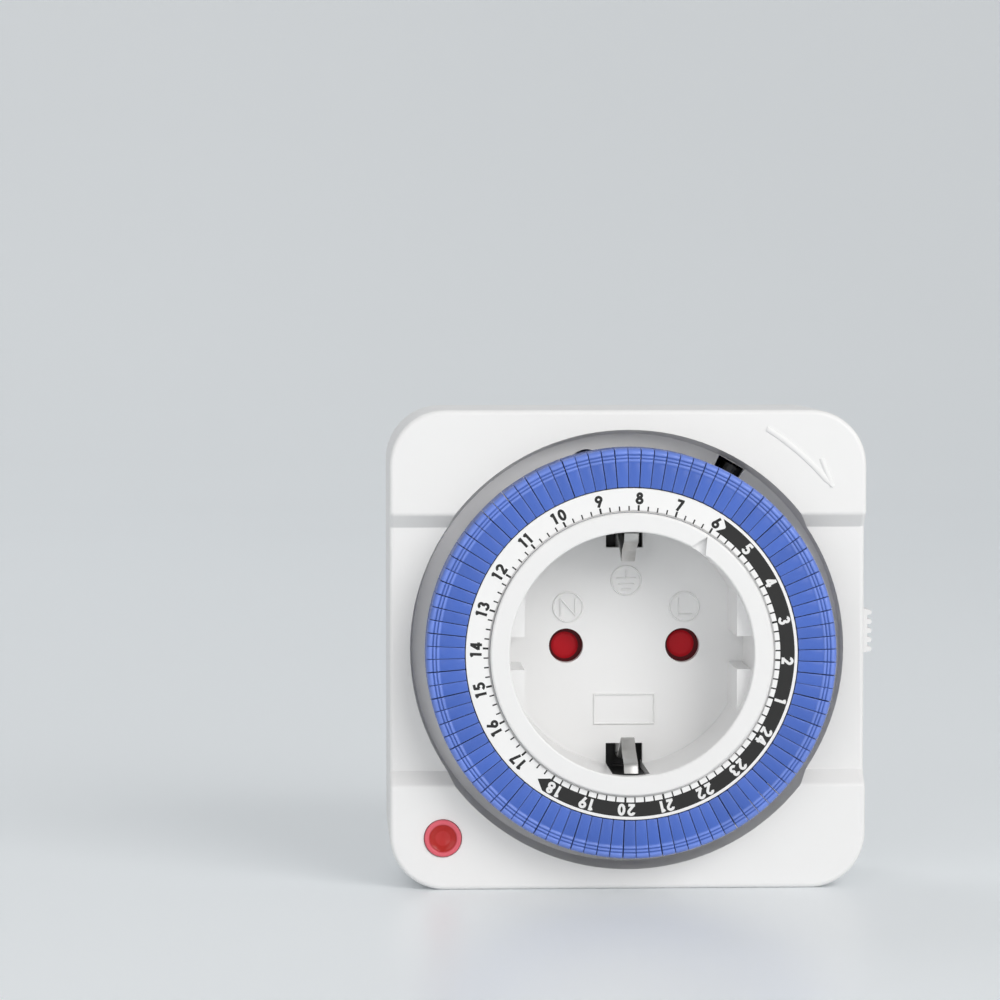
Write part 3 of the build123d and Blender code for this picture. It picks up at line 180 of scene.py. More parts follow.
def give_values(piece, name, values):
    """Stores a value for each point of a piece, for its material to read."""
    stored = piece.data.attributes.new(name, "FLOAT", "POINT")
    stored.data.foreach_set("value", np.asarray(values, np.float32))


def joined(parts):
    """One set of points and groups of faces from several pairs (points, groups of faces)."""
    points = [np.asarray(places).reshape(-1, 3) for places, _ in parts]
    starts = np.cumsum([0] + [len(places) for places in points[:-1]])
    groups = [group + start for (_, faces), start in zip(parts, starts) for group in faces]
    return np.concatenate(points), groups


def plate(places, lift, low, high):
    """A thin plate over a grid of flat places: the grid at a low and a high level, and its walls.

    places has rows x columns x 2 values, and closes on itself where its last row repeats the first;
    lift(places, depth) turns them into points. The faces turn over where the grid runs clockwise.
    """
    closed = np.allclose(places[0], places[-1])
    if closed:
        places = places[:-1]
    rows, columns = places.shape[:2]
    count = rows * columns
    points = np.concatenate([lift(places, level).reshape(-1, 3) for level in (high, low)])
    top = grid_faces(rows, columns, wrap_rows=closed)
    index = np.arange(count).reshape(rows, columns)
    if closed:
        rims = [index[::-1, 0], index[:, -1]]
    else:
        rims = [np.concatenate([index[0, :-1], index[:-1, -1], index[-1, :0:-1], index[:0:-1, 0]])]
    walls = [np.stack([rim, np.roll(rim, -1), np.roll(rim, -1) + count, rim + count], -1)
             for rim in rims]
    faces = np.concatenate([top, top[:, ::-1] + count, *walls])
    corners = places.reshape(-1, 2)[top]
    across = corners[:, 2] - corners[:, 0]
    along = corners[:, 3] - corners[:, 1]
    if (across[:, 0] * along[:, 1] - across[:, 1] * along[:, 0]).sum() < 0:
        faces = faces[:, ::-1]
    return points, [faces]


def leftwards(path, closed=False):
    """The unit direction to the left of a path's run, at each of its places."""
    run = np.roll(path, -1, 0) - np.roll(path, 1, 0) if closed else np.gradient(path, axis=0)
    run /= np.linalg.norm(run, axis=1, keepdims=True)
    return np.stack([-run[:, 1], run[:, 0]], -1)


def ribbon(path, width, closed=False):
    """A flat ribbon along a path: each place is moved half the width to both sides of the run."""
    side = leftwards(path, closed) * width / 2
    grid = np.stack([path - side, path + side], 1)
    return np.concatenate([grid, grid[:1]]) if closed else grid


def bead(path, width, lift, base, high, closed=False):
    """A rounded bead along a path.

    Across it the level rises from base to high as the root of one minus the square of the share of
    half the width.
    """
    share = np.array([-1.0, -0.9, -0.65, -0.3, 0.0, 0.3, 0.65, 0.9, 1.0])
    half = np.broadcast_to(np.asarray(width, float) / 2, len(path))[:, None, None]
    level = base + (high - base) * np.sqrt(1 - share ** 2)
    places = path[:, None] + leftwards(path, closed)[:, None] * half * share[None, :, None]
    points = lift(places, np.broadcast_to(level, places.shape[:2]))
    faces = [grid_faces(len(path), len(share), wrap_rows=closed, wrap_columns=True)]
    if not closed:
        faces.append(end_faces(len(path), len(share)))
    return points, faces


def arc(x, z, radius_x, radius_z, start, end, steps=20):
    """Places on an ellipse's arc: its middle plus its radii times an angle's cosine and sine."""
    turn = np.radians(np.linspace(start, end, steps))
    return np.stack([x + radius_x * np.cos(turn), z + radius_z * np.sin(turn)], -1)


def line(*ends):
    """Places at the ends of a straight stroke."""
    return np.array(ends, float)


def bent(corners, bends, steps=7):
    """A path through corners with round bends: each inner corner becomes a curve of two weights.

    The curve's place is (1-t)^2 of its start, 2t(1-t) of the corner and t^2 of its end, where both
    ends lie a bend's length from the corner.
    """
    corners = np.array(corners)
    share = np.linspace(0.0, 1.0, steps)[:, None]
    path = [corners[:1]]
    for before, corner, after, bend in zip(corners, corners[1:], corners[2:], bends):
        start = corner + (before - corner) * bend / np.linalg.norm(before - corner)
        end = corner + (after - corner) * bend / np.linalg.norm(after - corner)
        path.append((1 - share) ** 2 * start + 2 * share * (1 - share) * corner + share ** 2 * end)
    return np.concatenate([*path, corners[-1:]])


def turned(section, x, z, steps, closed=False):
    """A section of radius and depth turned about an axis: x plus radius times sine, z plus cosine.

    A closed section gives a ring; an open one starts or ends on the axis.
    """
    section = np.array(section)
    angle = np.linspace(0, 360, steps, endpoint=False)[:, None]
    place = clock_place(section[:, 0], angle)
    points = flat_point(x + place[..., 0], z + place[..., 1], section[:, 1])
    return points, [grid_faces(steps, len(section), wrap_rows=True, wrap_columns=closed)[:, ::-1]]


def around_dial(radius, angle):
    """Turns flat places into points on the dial: x runs clockwise and z outwards from a radius."""
    out = clock_place(1.0, angle)
    along = np.array([out[1], -out[0]])

    def lift(places, depth):
        flat = (radius + places[..., 1:2]) * out + places[..., 0:1] * along
        return flat_point(flat[..., 0], flat[..., 1], depth)
    return lift


def on_front(x, z):
    """Turns flat places into points on a flat front about a middle."""
    def lift(places, depth):
        return flat_point(x + places[..., 0], z + places[..., 1], depth)
    return lift


# ------------------------------------------------------------------ strokes of the print
def straight(*ends):
    """An open straight stroke."""
    return line(*ends), False


def bow(*values):
    """An open stroke along an arc."""
    return arc(*values), False


def loop(x, z, radius_x, radius_z):
    """A closed oval stroke."""
    return arc(x, z, radius_x, radius_z, 0, 345, 24), True


# Width and strokes of the signs, in shares of their height, about x 0 and z 0 to 1.
SIGNS = {
    "0": (0.58, [loop(0.29, 0.5, 0.19, 0.4)]),
    "1": (0.36, [straight((0.2, 0.0), (0.2, 1.0)), straight((0.0, 0.8), (0.2, 0.92))]),
    "2": (0.56, [(np.concatenate([arc(0.27, 0.69, 0.2, 0.21, 175, -38), line((0.1, 0.08))]), False),
                 straight((0.02, 0.1), (0.52, 0.1))]),
    "3": (0.54, [bow(0.24, 0.72, 0.17, 0.18, 165, -90), bow(0.24, 0.32, 0.21, 0.22, 90, -165)]),
    "4": (0.60, [straight((0.38, 0.94), (0.07, 0.3)), straight((0.0, 0.29), (0.58, 0.29)),
                 straight((0.4, 0.0), (0.4, 1.0))]),
    "5": (0.56, [straight((0.14, 0.9), (0.5, 0.9)), straight((0.19, 0.96), (0.13, 0.5)),
                 bow(0.26, 0.33, 0.22, 0.23, 128, -160)]),
    "6": (0.58, [loop(0.29, 0.31, 0.2, 0.21), straight((0.14, 0.42), (0.42, 0.98))]),
    "7": (0.54, [straight((0.02, 0.9), (0.54, 0.9)), straight((0.45, 0.9), (0.17, 0.0))]),
    "8": (0.56, [loop(0.28, 0.74, 0.15, 0.16), loop(0.28, 0.3, 0.2, 0.2)]),
    "9": (0.58, [loop(0.29, 0.69, 0.2, 0.21), straight((0.44, 0.58), (0.16, 0.02))]),
    "N": (0.62, [straight((0.1, 0.0), (0.1, 1.0)), straight((0.1, 0.96), (0.52, 0.04)),
                 straight((0.52, 0.0), (0.52, 1.0))]),
    "L": (0.5, [straight((0.1, 0.0), (0.1, 1.0)), straight((0.1, 0.06), (0.48, 0.06))]),
}

# Degrees clockwise that the print puts an hour beside its mark. The one where the night band ends
# stands clear of the band's point.
HOUR_SHIFTS = {hour: 0.2 if hour < 10 else -0.5 for hour in range(1, HOURS + 1)}
HOUR_SHIFTS[NIGHT_START] = -2.4


def lettering(word, height, stroke, gap=0.17, stretch=1.12):
    """The strokes of a word as grids of places, centred on x 0 and z 0, with its top along +z.

    A stroke's place is its share times the height, and across times the stretch as well.
    """
    widths = [SIGNS[sign][0] for sign in word]
    start = -(sum(widths) + gap * (len(word) - 1)) / 2
    grids = []
    for sign, width in zip(word, widths):
        for path, closed in SIGNS[sign][1]:
            moved = (path + (start, -0.5)) * (height * stretch, height)
            grids.append(ribbon(moved, stroke, closed))
        start += width + gap
    return grids


def hour_angle(hour):
    """Clock angle of an hour's mark: the hours run anticlockwise from the one at the pointer."""
    return POINTER_ANGLE + HOUR_STEP * (POINTER_HOUR - hour)


# ------------------------------------------------------------------ nodes
def feed(tree, node, inputs):
    """Gives inputs of a node their values, or links them to the outputs that they read."""
    for name, given in inputs.items():
        if isinstance(given, bpy.types.NodeSocket):
            tree.links.new(given, node.inputs[name])
        else:
            node.inputs[name].default_value = given


def add_node(tree, kind, inputs, **settings):
    """A shader node with its settings and its inputs."""
    node = tree.nodes.new("ShaderNode" + kind)
    for name, value in settings.items():
        setattr(node, name, value)
    feed(tree, node, inputs)
    return node


def opaque(color):
    """A colour of three values with a full fourth."""
    return (*color, 1.0)


def noise(tree, place, scale, detail=2.0, distortion=0.0):
    """A noise over a place, about a half."""
    return add_node(tree, "TexNoise", {"Vector": place, "Scale": scale, "Detail": detail,
                                       "Distortion": distortion}).outputs["Fac"]


def calculated(tree, operation, *values, clamp=False):
    """Values and outputs put through one operation of arithmetic."""
    node = add_node(tree, "Math", dict(enumerate(values)), operation=operation, use_clamp=clamp)
    return node.outputs[0]


def ranged(tree, value, start, end, low=0.0, high=1.0):
    """A value that runs from start to end, made to run from low to high and held between them."""
    return add_node(tree, "MapRange", {"Value": value, "From Min": start, "From Max": end,
                                       "To Min": low, "To Max": high}).outputs["Result"]


def mixed(tree, share, first, second, blend="MIX"):
    """Two colours mixed by a share."""
    return add_node(tree, "Mix", {"Factor": share, "A": first, "B": second},
                    data_type="RGBA", blend_type=blend).outputs["Result"]


def raised(tree, height, strength, distance):
    """A normal bent by a height."""
    return add_node(tree, "Bump", {"Height": height, "Strength": strength,
                                   "Distance": distance}).outputs["Normal"]


def placed_group(tree, name, inputs):
    """The outputs of a shared node group placed in a material."""
    return add_node(tree, "Group", inputs, node_tree=bpy.data.node_groups[name]).outputs


def new_group(name, inputs, outputs):
    """A node group with a vector and number inputs, and number outputs: it and its end nodes."""
    group = bpy.data.node_groups.new(name, "ShaderNodeTree")
    group.interface.new_socket("Vector", in_out="INPUT", socket_type="NodeSocketVector")
    for label, default in inputs.items():
        socket = group.interface.new_socket(label, in_out="INPUT", socket_type="NodeSocketFloat")
        socket.default_value = default
    for label in outputs:
        group.interface.new_socket(label, in_out="OUTPUT", socket_type="NodeSocketFloat")
    return group, group.nodes.new("NodeGroupInput"), group.nodes.new("NodeGroupOutput")


def moulded_surface_group():
    """Shared nodes of moulded plastic: fine spark grain, flow clouds and rubbed patches.

    Shade is one plus the clouds times Cloudiness; Gloss is Roughness plus the rubbed patches times
    Rubbing; Relief is a fine noise at Grain size.
    """
    group, start, end = new_group(
        MOULDED, {"Grain size": GRAIN_SIZE, "Cloudiness": 0.03, "Roughness": 0.4, "Rubbing": 0.08},
        ("Shade", "Gloss", "Relief"))
    given = start.outputs
    clouds = calculated(group, "SUBTRACT", noise(group, given["Vector"], 45.0, 4.0), 0.5)
    rubbed = calculated(group, "SUBTRACT", noise(group, given["Vector"], 160.0, 6.0, 1.2), 0.5)
    feed(group, end, {
        "Shade": calculated(group, "MULTIPLY_ADD", clouds, given["Cloudiness"], 1.0),
        "Gloss": calculated(group, "MULTIPLY_ADD", rubbed, given["Rubbing"], given["Roughness"]),
        "Relief": noise(group, given["Vector"], given["Grain size"], 3.0),
    })


def drawn_metal_group():
    """Shared nodes of drawn metal: fine scratches along one axis, and tarnish.

    Scratches is a noise of coordinates squeezed along Y; Gloss is Roughness plus the scratches
    times Scratching; Tarnish is a soft cloud mask.
    """
    group, start, end = new_group(DRAWN, {"Roughness": 0.3, "Scratching": 0.15},
                                  ("Tarnish", "Gloss", "Scratches"))
    given = start.outputs
    stretched = add_node(group, "Mapping", {"Vector": given["Vector"], "Scale": (1.0, 0.06, 1.0)})
    scratches = noise(group, stretched.outputs["Vector"], 2600.0, 4.0)
    feed(group, end, {
        "Tarnish": ranged(group, noise(group, given["Vector"], 220.0, 5.0), 0.42, 0.75),
        "Gloss": calculated(group, "MULTIPLY_ADD", scratches, given["Scratching"],
                            given["Roughness"]),
        "Scratches": scratches,
    })


# ------------------------------------------------------------------ finishes
def new_material(name):
    """A new finish: its node tree, its Principled BSDF and its Object coordinates."""
    material = bpy.data.materials.new(name + FINISH)
    material.use_nodes = True
    tree = material.node_tree
    return tree, tree.nodes["Principled BSDF"], add_node(tree, "TexCoord", {}).outputs["Object"]


def moulded_plastic(name, color, roughness, grain=0.3, cloudiness=0.03, rubbing=0.08,
                    highlight_color=None, bending=1.46):
    """Moulded plastic of one colour, with its grain, its clouds and its rubbed patches.

    With a highlight colour, the piece's own values of painted highlight and of tone change the
    colour too.
    """
    tree, shader, place = new_material(name)
    surface = placed_group(tree, MOULDED, {"Vector": place, "Cloudiness": cloudiness,
                                           "Roughness": roughness, "Rubbing": rubbing})
    shaded = mixed(tree, 1.0, opaque(color), surface["Shade"], "MULTIPLY")
    if highlight_color is not None:
        shaded = muted_bounce(tree, worn(tree, shaded, highlight_color))
    feed(tree, shader, {"Base Color": shaded, "Roughness": surface["Gloss"], "IOR": bending,
                        "Normal": raised(tree, surface["Relief"], grain, 0.00003)})


def worn(tree, color, highlight_color):
    """A colour mixed towards a painted highlight colour by the highlight values, then scaled by the
    tone values, which differ at random.
    """
    edge, tone = (add_node(tree, "Attribute", {}, attribute_name=name).outputs["Fac"]
                  for name in ("edge", "tone"))
    shade = ranged(tree, tone, 0.0, 1.0, 0.93, 1.07)
    return mixed(tree, 1.0, mixed(tree, edge, color, opaque(highlight_color)), shade, "MULTIPLY")


def muted_bounce(tree, color):
    """A colour that throws a greyer light on its neighbours than it shows itself."""
    path = add_node(tree, "LightPath", {})
    share = calculated(tree, "MULTIPLY", path.outputs["Is Diffuse Ray"], 0.92)
    return mixed(tree, share, color, (0.55, 0.54, 0.52, 1.0))


def metal(name, color, tarnish_color, roughness, scratching, depth):
    """Plated or bare metal with drawn scratches and soft tarnish."""
    tree, shader, place = new_material(name)
    surface = placed_group(tree, DRAWN, {"Vector": place, "Roughness": roughness,
                                         "Scratching": scratching})
    base = mixed(tree, surface["Tarnish"], opaque(color), opaque(tarnish_color))
    feed(tree, shader, {"Base Color": base, "Roughness": surface["Gloss"], "Metallic": 1.0,
                        "Normal": raised(tree, surface["Scratches"], depth, 0.00002)})


def lens_plastic(name, rim_color, bowl_color, middle_color):
    """Clear lens plastic: its colour follows how thick the wall is at a distance from the axis."""
    tree, shader, place = new_material(name)
    centred = add_node(tree, "Mapping",
                       {"Vector": place, "Location": (-LENS_X / 1000, 0.0, -LENS_Z / 1000)})
    flat = add_node(tree, "VectorMath", {0: centred.outputs["Vector"], 1: (1.0, 0.0, 1.0)},
                    operation="MULTIPLY")
    distance = add_node(tree, "VectorMath", {0: flat.outputs["Vector"]}, operation="LENGTH")
    ramp = add_node(tree, "ValToRGB", {"Fac": ranged(tree, distance.outputs["Value"], 0.0, 0.003)})
    stops = ramp.color_ramp.elements
    stops[0].color, stops[1].color = opaque(middle_color), opaque(rim_color)
    for position, color in ((0.36, middle_color), (0.44, bowl_color), (0.7, bowl_color),
                            (0.79, rim_color)):
        stops.new(position).color = opaque(color)
    surface = placed_group(tree, MOULDED, {"Vector": place, "Roughness": 0.22, "Rubbing": 0.12})
    feed(tree, shader, {"Base Color": ramp.outputs["Color"], "Roughness": surface["Gloss"],
                        "Specular IOR Level": 0.25, "Coat Weight": 0.15, "Coat Roughness": 0.08})


def glass(name):
    """Thin clear glass of the small bulb."""
    tree, shader, place = new_material(name)
    surface = placed_group(tree, MOULDED, {"Vector": place, "Roughness": 0.06, "Rubbing": 0.06})
    feed(tree, shader, {"Base Color": (0.95, 0.93, 0.9, 1.0), "Roughness": surface["Gloss"],
                        "Transmission Weight": 1.0, "IOR": 1.5})


def finish_named(name):
    """The finish of a name."""
    return bpy.data.materials[name + FINISH]


def dress(piece, finish, body):
    """Finishes a new piece: its material, its body and its slot."""
    piece.data.materials.append(finish_named(finish))
    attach(piece, body)


def printed(name, parts, finish):
    """A piece of thin print on the number ring."""
    dress(mesh_object(name, *joined(parts), smooth=False), finish, "dial")


# ------------------------------------------------------------------ settings
def length_setting(name, description, default):
    """A length in millimetres, as a property."""
    return FloatProperty(name=name, description=description, default=default, min=0.0)


def angle_setting(name, description, default):
    """An angle in degrees, as a property."""
    return FloatProperty(name=name, description=description + ", in degrees", default=default)


def place_setting(name, default):
    """One coordinate of the camera in metres, as a property."""
    return FloatProperty(name=name, description="Where the camera stands", default=default,
                         unit="LENGTH")


def power_setting(name, description, default):
    """A lamp's power, as a property."""
    return FloatProperty(name=name, description=description, default=default, unit="POWER")


def color_setting(name, description, default):
    """A colour, as a property."""
    return FloatVectorProperty(name=name, description=description, default=default, size=3,
                               min=0.0, max=1.0, subtype="COLOR")


class TimerFinishSettings(bpy.types.PropertyGroup):
    """Colours of the finishes."""
    white: color_setting("White plastic", "Colour of housing and socket", (0.86, 0.86, 0.86))
    blue: color_setting("Tappet blue", "Colour of the tappets", (0.058, 0.135, 0.52))
    # Painted highlight: the tappets' ridges and edges are mixed towards this lighter blue, standing
    # for the light that they catch.
    blue_edge: color_setting("Edge blue", "Colour of the tappets' edges", (0.16, 0.26, 0.74))
    dark_blue: color_setting("Drum blue", "Colour behind the tappets", (0.035, 0.06, 0.42))
    ring: color_setting("Number ring", "Colour of the number ring", (0.89, 0.89, 0.89))
    ink: color_setting("Ink", "Colour of the black print", (0.012, 0.012, 0.012))
    # Painted shade: the shutter is made far darker than the red of its domes, so that it shows as
    # the shadow in the pin holes round them.
    shutter: color_setting("Shutter red", "Colour of the shutter", (0.09, 0.002, 0.005))
    dome: color_setting("Dome red", "Colour of the domes on the shutter", (0.45, 0.004, 0.012))
    lens_rim: color_setting("Lens rim", "Colour of the lens at its edge", (0.75, 0.13, 0.17))
    lens_bowl: color_setting("Lens bowl", "Colour of the lens in its bowl", (0.44, 0.018, 0.014))
    lens_middle: color_setting("Lens middle", "Colour of the lens's middle", (0.5, 0.03, 0.03))


class TimerDialSettings(bpy.types.PropertyGroup):
    """Sizes of the printed dial, in millimetres."""
    numeral_height: length_setting("Numeral height", "Height of the printed hours", 1.87)
    numeral_stroke: length_setting("Numeral stroke", "Width of the hours' strokes", 0.44)
    numeral_radius: length_setting("Numeral radius", "Radius of the middle of the hours", 24.88)
    tick_start: length_setting("Tick start", "Radius at which the quarter marks start", 22.9)
    tick_end: length_setting("Tick end", "Radius at which the quarter marks end", 23.66)
    hour_tick_end: length_setting("Hour tick end", "Radius at which the hour marks end", 23.8)
    tick_width: length_setting("Tick width", "Width of a quarter mark", 0.22)
    hour_tick_width: length_setting("Hour tick width", "Width of an hour mark", 0.32)
    ink_height: length_setting("Ink height", "Thickness of the print", 0.015)
    band_inner: length_setting("Band inner radius", "Inner radius of the night band", 23.7)
    band_outer: length_setting("Band outer radius", "Outer radius of the night band", 26.0)


class TimerTappetSettings(bpy.types.PropertyGroup):
    """Sizes of the tappets, in millimetres."""
    inner_radius: length_setting("Inner radius", "Radius at the tappets' inner ends", 26.65)
    outer_radius: length_setting("Outer radius", "Radius of the skirt", 32.8)
    half_angle: angle_setting("Half angle", "Half the angle that a tappet spans", 1.755)
    edge_round: length_setting("Edge rounding", "Rounding of the long edges", 0.09)
    cap_thickness: length_setting("Cap thickness", "Thickness of the cap", 2.0)
    skirt_inner: length_setting("Skirt inner radius", "Inner radius of the skirt", 31.2)
    ridge_height: length_setting("Ridge height", "How far the ridges stand over the flat", 0.12)
    prong_radius: length_setting("Prong radius", "Radius of the middle of the prongs", 28.0)
    prong_thickness: length_setting("Prong thickness", "Size of a prong along the radius", 1.2)
    prong_width: length_setting("Prong width", "Size of a prong across the radius", 1.0)
    prong_length: length_setting("Prong length", "How far a prong reaches behind the cap", 7.5)
    skirt_spread: angle_setting("Skirt spread", "How far the skirt reaches on, each side", 0.055)
    wander: angle_setting("Wander", "Largest turn of a tappet out of its place", 0.06)


class TimerClipSettings(bpy.types.PropertyGroup):
    """Sizes of the earth clips, in millimetres."""
    clip_width: length_setting("Clip width", "Width of the strip at the clips", 2.3)
    tip_width: length_setting("Tip width", "Width of the strip at its inward bends", 2.15)
    thickness: length_setting("Thickness", "Thickness of the strip", 0.55)
    crown: length_setting("Crown", "How far the strip's middle stands over its edges", 0.1)


class TimerMarkSettings(bpy.types.PropertyGroup):
    """Sizes of the raised marks, in millimetres."""
    mark_height: length_setting("Mark height", "How far the socket's marks stand up", 0.32)
    mark_line: length_setting("Mark line", "Width of the lines of the marks", 0.32)
    ring_radius: length_setting("Ring radius", "Radius of the rings round the marks", 2.4)
    dome_radius: length_setting("Dome radius", "Radius of the shutter's domes", 2.2)
    dome_height: length_setting("Dome height", "How far the shutter's domes stand up", 0.2)
    arrow_radius: length_setting("Arrow radius", "Radius of the arrow about the dial's axis", 42.1)
    arrow_width: length_setting("Arrow width", "Width of the arrow's arc", 1.1)
    arrow_height: length_setting("Arrow height", "How far the arrow stands up", 0.24)


class TimerStageSettings(bpy.types.PropertyGroup):
    """The camera and the light."""
    camera_x: place_setting("Camera X", -0.05035)
    camera_y: place_setting("Camera Y", -0.7019)
    camera_z: place_setting("Camera Z", 0.05745)
    camera_turn: angle_setting("Camera turn", "Turn of the camera to the right", 2.595)
    camera_dip: angle_setting("Camera dip", "Dip of the camera below the horizon", 2.901)
    camera_lens: FloatProperty(name="Camera lens", default=147.1,
                               description="Focal length on a sensor 36 mm wide")
    key_power: power_setting("Key power", "Power of the large lamp", 8.2)
    fill_power: power_setting("Fill power", "Power of the fill lamp", 3.4)
    rear_power: power_setting("Rear power", "Power of the lamp behind", 2.0)
    sky: FloatProperty(name="Sky", description="Strength of the light from all round", default=0.44)


SETTINGS = {
    "timer_finish": TimerFinishSettings,
    "timer_dial": TimerDialSettings,
    "timer_tappet": TimerTappetSettings,
    "timer_clip": TimerClipSettings,
    "timer_mark": TimerMarkSettings,
    "timer_stage": TimerStageSettings,
}


# ------------------------------------------------------------------ operators
# Finish, colour, colour of the tarnish, roughness, how far scratches change it, and their depth.
METALS = (
    ("nickel_pin", (0.72, 0.71, 0.68), (0.60, 0.57, 0.50), 0.16, 0.12, 0.08),
    ("nickel_strip", (0.60, 0.60, 0.595), (0.50, 0.49, 0.47), 0.40, 0.2, 0.15),
    ("zinc_steel", (0.62, 0.63, 0.65), (0.5, 0.5, 0.47), 0.3, 0.2, 0.2),
    ("spring_steel", (0.4, 0.4, 0.42), (0.3, 0.28, 0.25), 0.28, 0.15, 0.1),
    ("brass", (0.72, 0.52, 0.22), (0.5, 0.33, 0.12), 0.26, 0.2, 0.15),
    ("motor_can", (0.66, 0.66, 0.66), (0.5, 0.5, 0.48), 0.34, 0.2, 0.2),
)


class TIMER_OT_mix_finishes(bpy.types.Operator):
    """Makes every material of the timer"""
    bl_idname = "timer.mix_finishes"
    bl_label = "Mix the finishes"

    def execute(self, context):
        look = context.scene.timer_finish
        moulded_surface_group()
        drawn_metal_group()
        moulded_plastic("white_housing", look.white, 0.42, grain=0.25, cloudiness=0.02)
        moulded_plastic("white_insert", look.white, 0.3, grain=0.1, cloudiness=0.02)
        # The tappets' ridges and edges carry a painted highlight in the lighter blue.
        moulded_plastic("blue_tappet", look.blue, 0.33, grain=0.15, cloudiness=0.10,
                        highlight_color=look.blue_edge)
        moulded_plastic("blue_dial", look.dark_blue, 0.45)
        moulded_plastic("number_ring", look.ring, 0.45, grain=0.15, cloudiness=0.02)
        moulded_plastic("ink", look.ink, 0.5, cloudiness=0.2)
        moulded_plastic("white_ink", (0.82, 0.82, 0.82), 0.5)
        # The shutter's dark red is painted shade round the brighter domes.
        for name, color in (("red_shutter", look.shutter), ("red_dome", look.dome)):
            moulded_plastic(name, color, 0.35, grain=0.1, cloudiness=0.15, bending=1.3)
        moulded_plastic("red_plunger", (0.35, 0.02, 0.02), 0.35)
        moulded_plastic("black_plastic", (0.012, 0.012, 0.013), 0.4, grain=0.4, cloudiness=0.2)
        moulded_plastic("white_gear", (0.78, 0.77, 0.72), 0.4, grain=0.2)
        moulded_plastic("black_gear", (0.015, 0.015, 0.015), 0.35, grain=0.2)
        moulded_plastic("resistor_coat", (0.5, 0.36, 0.18), 0.5)
        moulded_plastic("brown_lead", (0.075, 0.03, 0.014), 0.45, rubbing=0.15)
        moulded_plastic("blue_lead", (0.02, 0.05, 0.28), 0.45, rubbing=0.15)
        lens_plastic("red_lens", look.lens_rim, look.lens_bowl, look.lens_middle)
        glass("clear_glass")
        for values in METALS:
            metal(*values)
        return {"FINISHED"}


class TIMER_OT_dress_nodes(bpy.types.Operator):
    """Gives every CAD node the finish of its material slot"""
    bl_idname = "timer.dress_nodes"
    bl_label = "Dress the CAD nodes"

    def execute(self, context):
        for part in frame["record"]["subparts"]:
            slot = part["material_slot"]
            finish = finish_named(SLOT_FINISHES.get(slot, slot))
            target = frame["nodes"][part["node"]]
            if not target.material_slots:
                target.data.materials.append(finish)
            for place in target.material_slots:
                place.material = finish
        return {"FINISHED"}


class TIMER_OT_build_tappets(bpy.types.Operator):
    """Builds the ninety-six tappets, four to each hour's piece"""
    bl_idname = "timer.build_tappets"
    bl_label = "Build the tappets"

    def execute(self, context):
        size = context.scene.timer_tappet
        draws = np.random.default_rng(7)
        wander = draws.uniform(-size.wander, size.wander, (HOURS, QUARTERS))
        tones = draws.uniform(0.0, 1.0, (HOURS, QUARTERS))
        for hour in range(1, HOURS + 1):
            middles = hour_angle(hour) + QUARTER_STEP * (np.arange(QUARTERS) + 0.5)
            made = [tappet(size, middle) for middle in middles + wander[hour - 1]]
            piece = mesh_object(f"tappets_{hour:02d}", *joined([part for part, _ in made]))
            # Each point's share of the painted highlight that lightens the ridges and edges.
            give_values(piece, "edge", np.concatenate([edge for _, edge in made]))
            give_values(piece, "tone", np.repeat(tones[hour - 1], len(made[0][1])))
            keep_edges_sharp(piece, 50)
            node = f"tappets_hour_{hour:02d}"
            dress(piece, "blue_tappet", node)
            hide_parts(node)
        return {"FINISHED"}


def tappet(size, middle):
    """One tappet, as (points, groups of faces), and each point's share of the painted highlight.

    The section is carried across the tappet's angle. Near both ends of the angle it shrinks towards
    its own midline by the rounding, and one many-sided face closes each end. The prong behind is a
    plain section carried across its own angle.
    """
    back = TAPPET_FRONT + size.cap_thickness
    section = tappet_section(size, back)
    outline, edge = section[:, :2], section[:, 2]
    inward = section_midline(outline, size, back) - outline
    share = size.edge_round / np.maximum(np.linalg.norm(inward, axis=1), size.edge_round)
    # A row for each step across: its side, its share of the rounding, and how far it stays short.
    side, pinch, short = np.array([(-1.0, 1.0, 0.0), (-1.0, 0.35, 0.04), (-1.0, 0.0, 0.2),
                                   (1.0, 0.0, 0.2), (1.0, 0.35, 0.04), (1.0, 1.0, 0.0)]).T
    rounded = outline + inward * share[:, None] * pinch[:, None, None]
    on_skirt = (outline[:, 0] > size.skirt_inner) & (outline[:, 1] > TAPPET_FRONT + 0.9)
    half = size.half_angle + size.skirt_spread * on_skirt - short[:, None]
    cap = clock_point(rounded[..., 0], middle + side[:, None] * half, rounded[..., 1])
    sides = grid_faces(len(side), len(outline), wrap_columns=True)[:, ::-1]
    ends = end_faces(len(side), len(outline))
    # Points on the rows that round the long edges, except those at the back, get a painted
    # highlight of 0.7.
    end_highlight = 0.7 * (pinch[:, None] > 0) * (outline[:, 1] < back - 0.1)
    prong, prong_faces = tappet_prong(size, middle, back)
    # Painted highlight shares of the cap, and none on the prong.
    edges = np.concatenate([np.maximum(edge, end_highlight).ravel(), np.zeros(prong[..., 0].size)])
    return joined([(cap, [sides, ends]), (prong, [prong_faces])]), edges


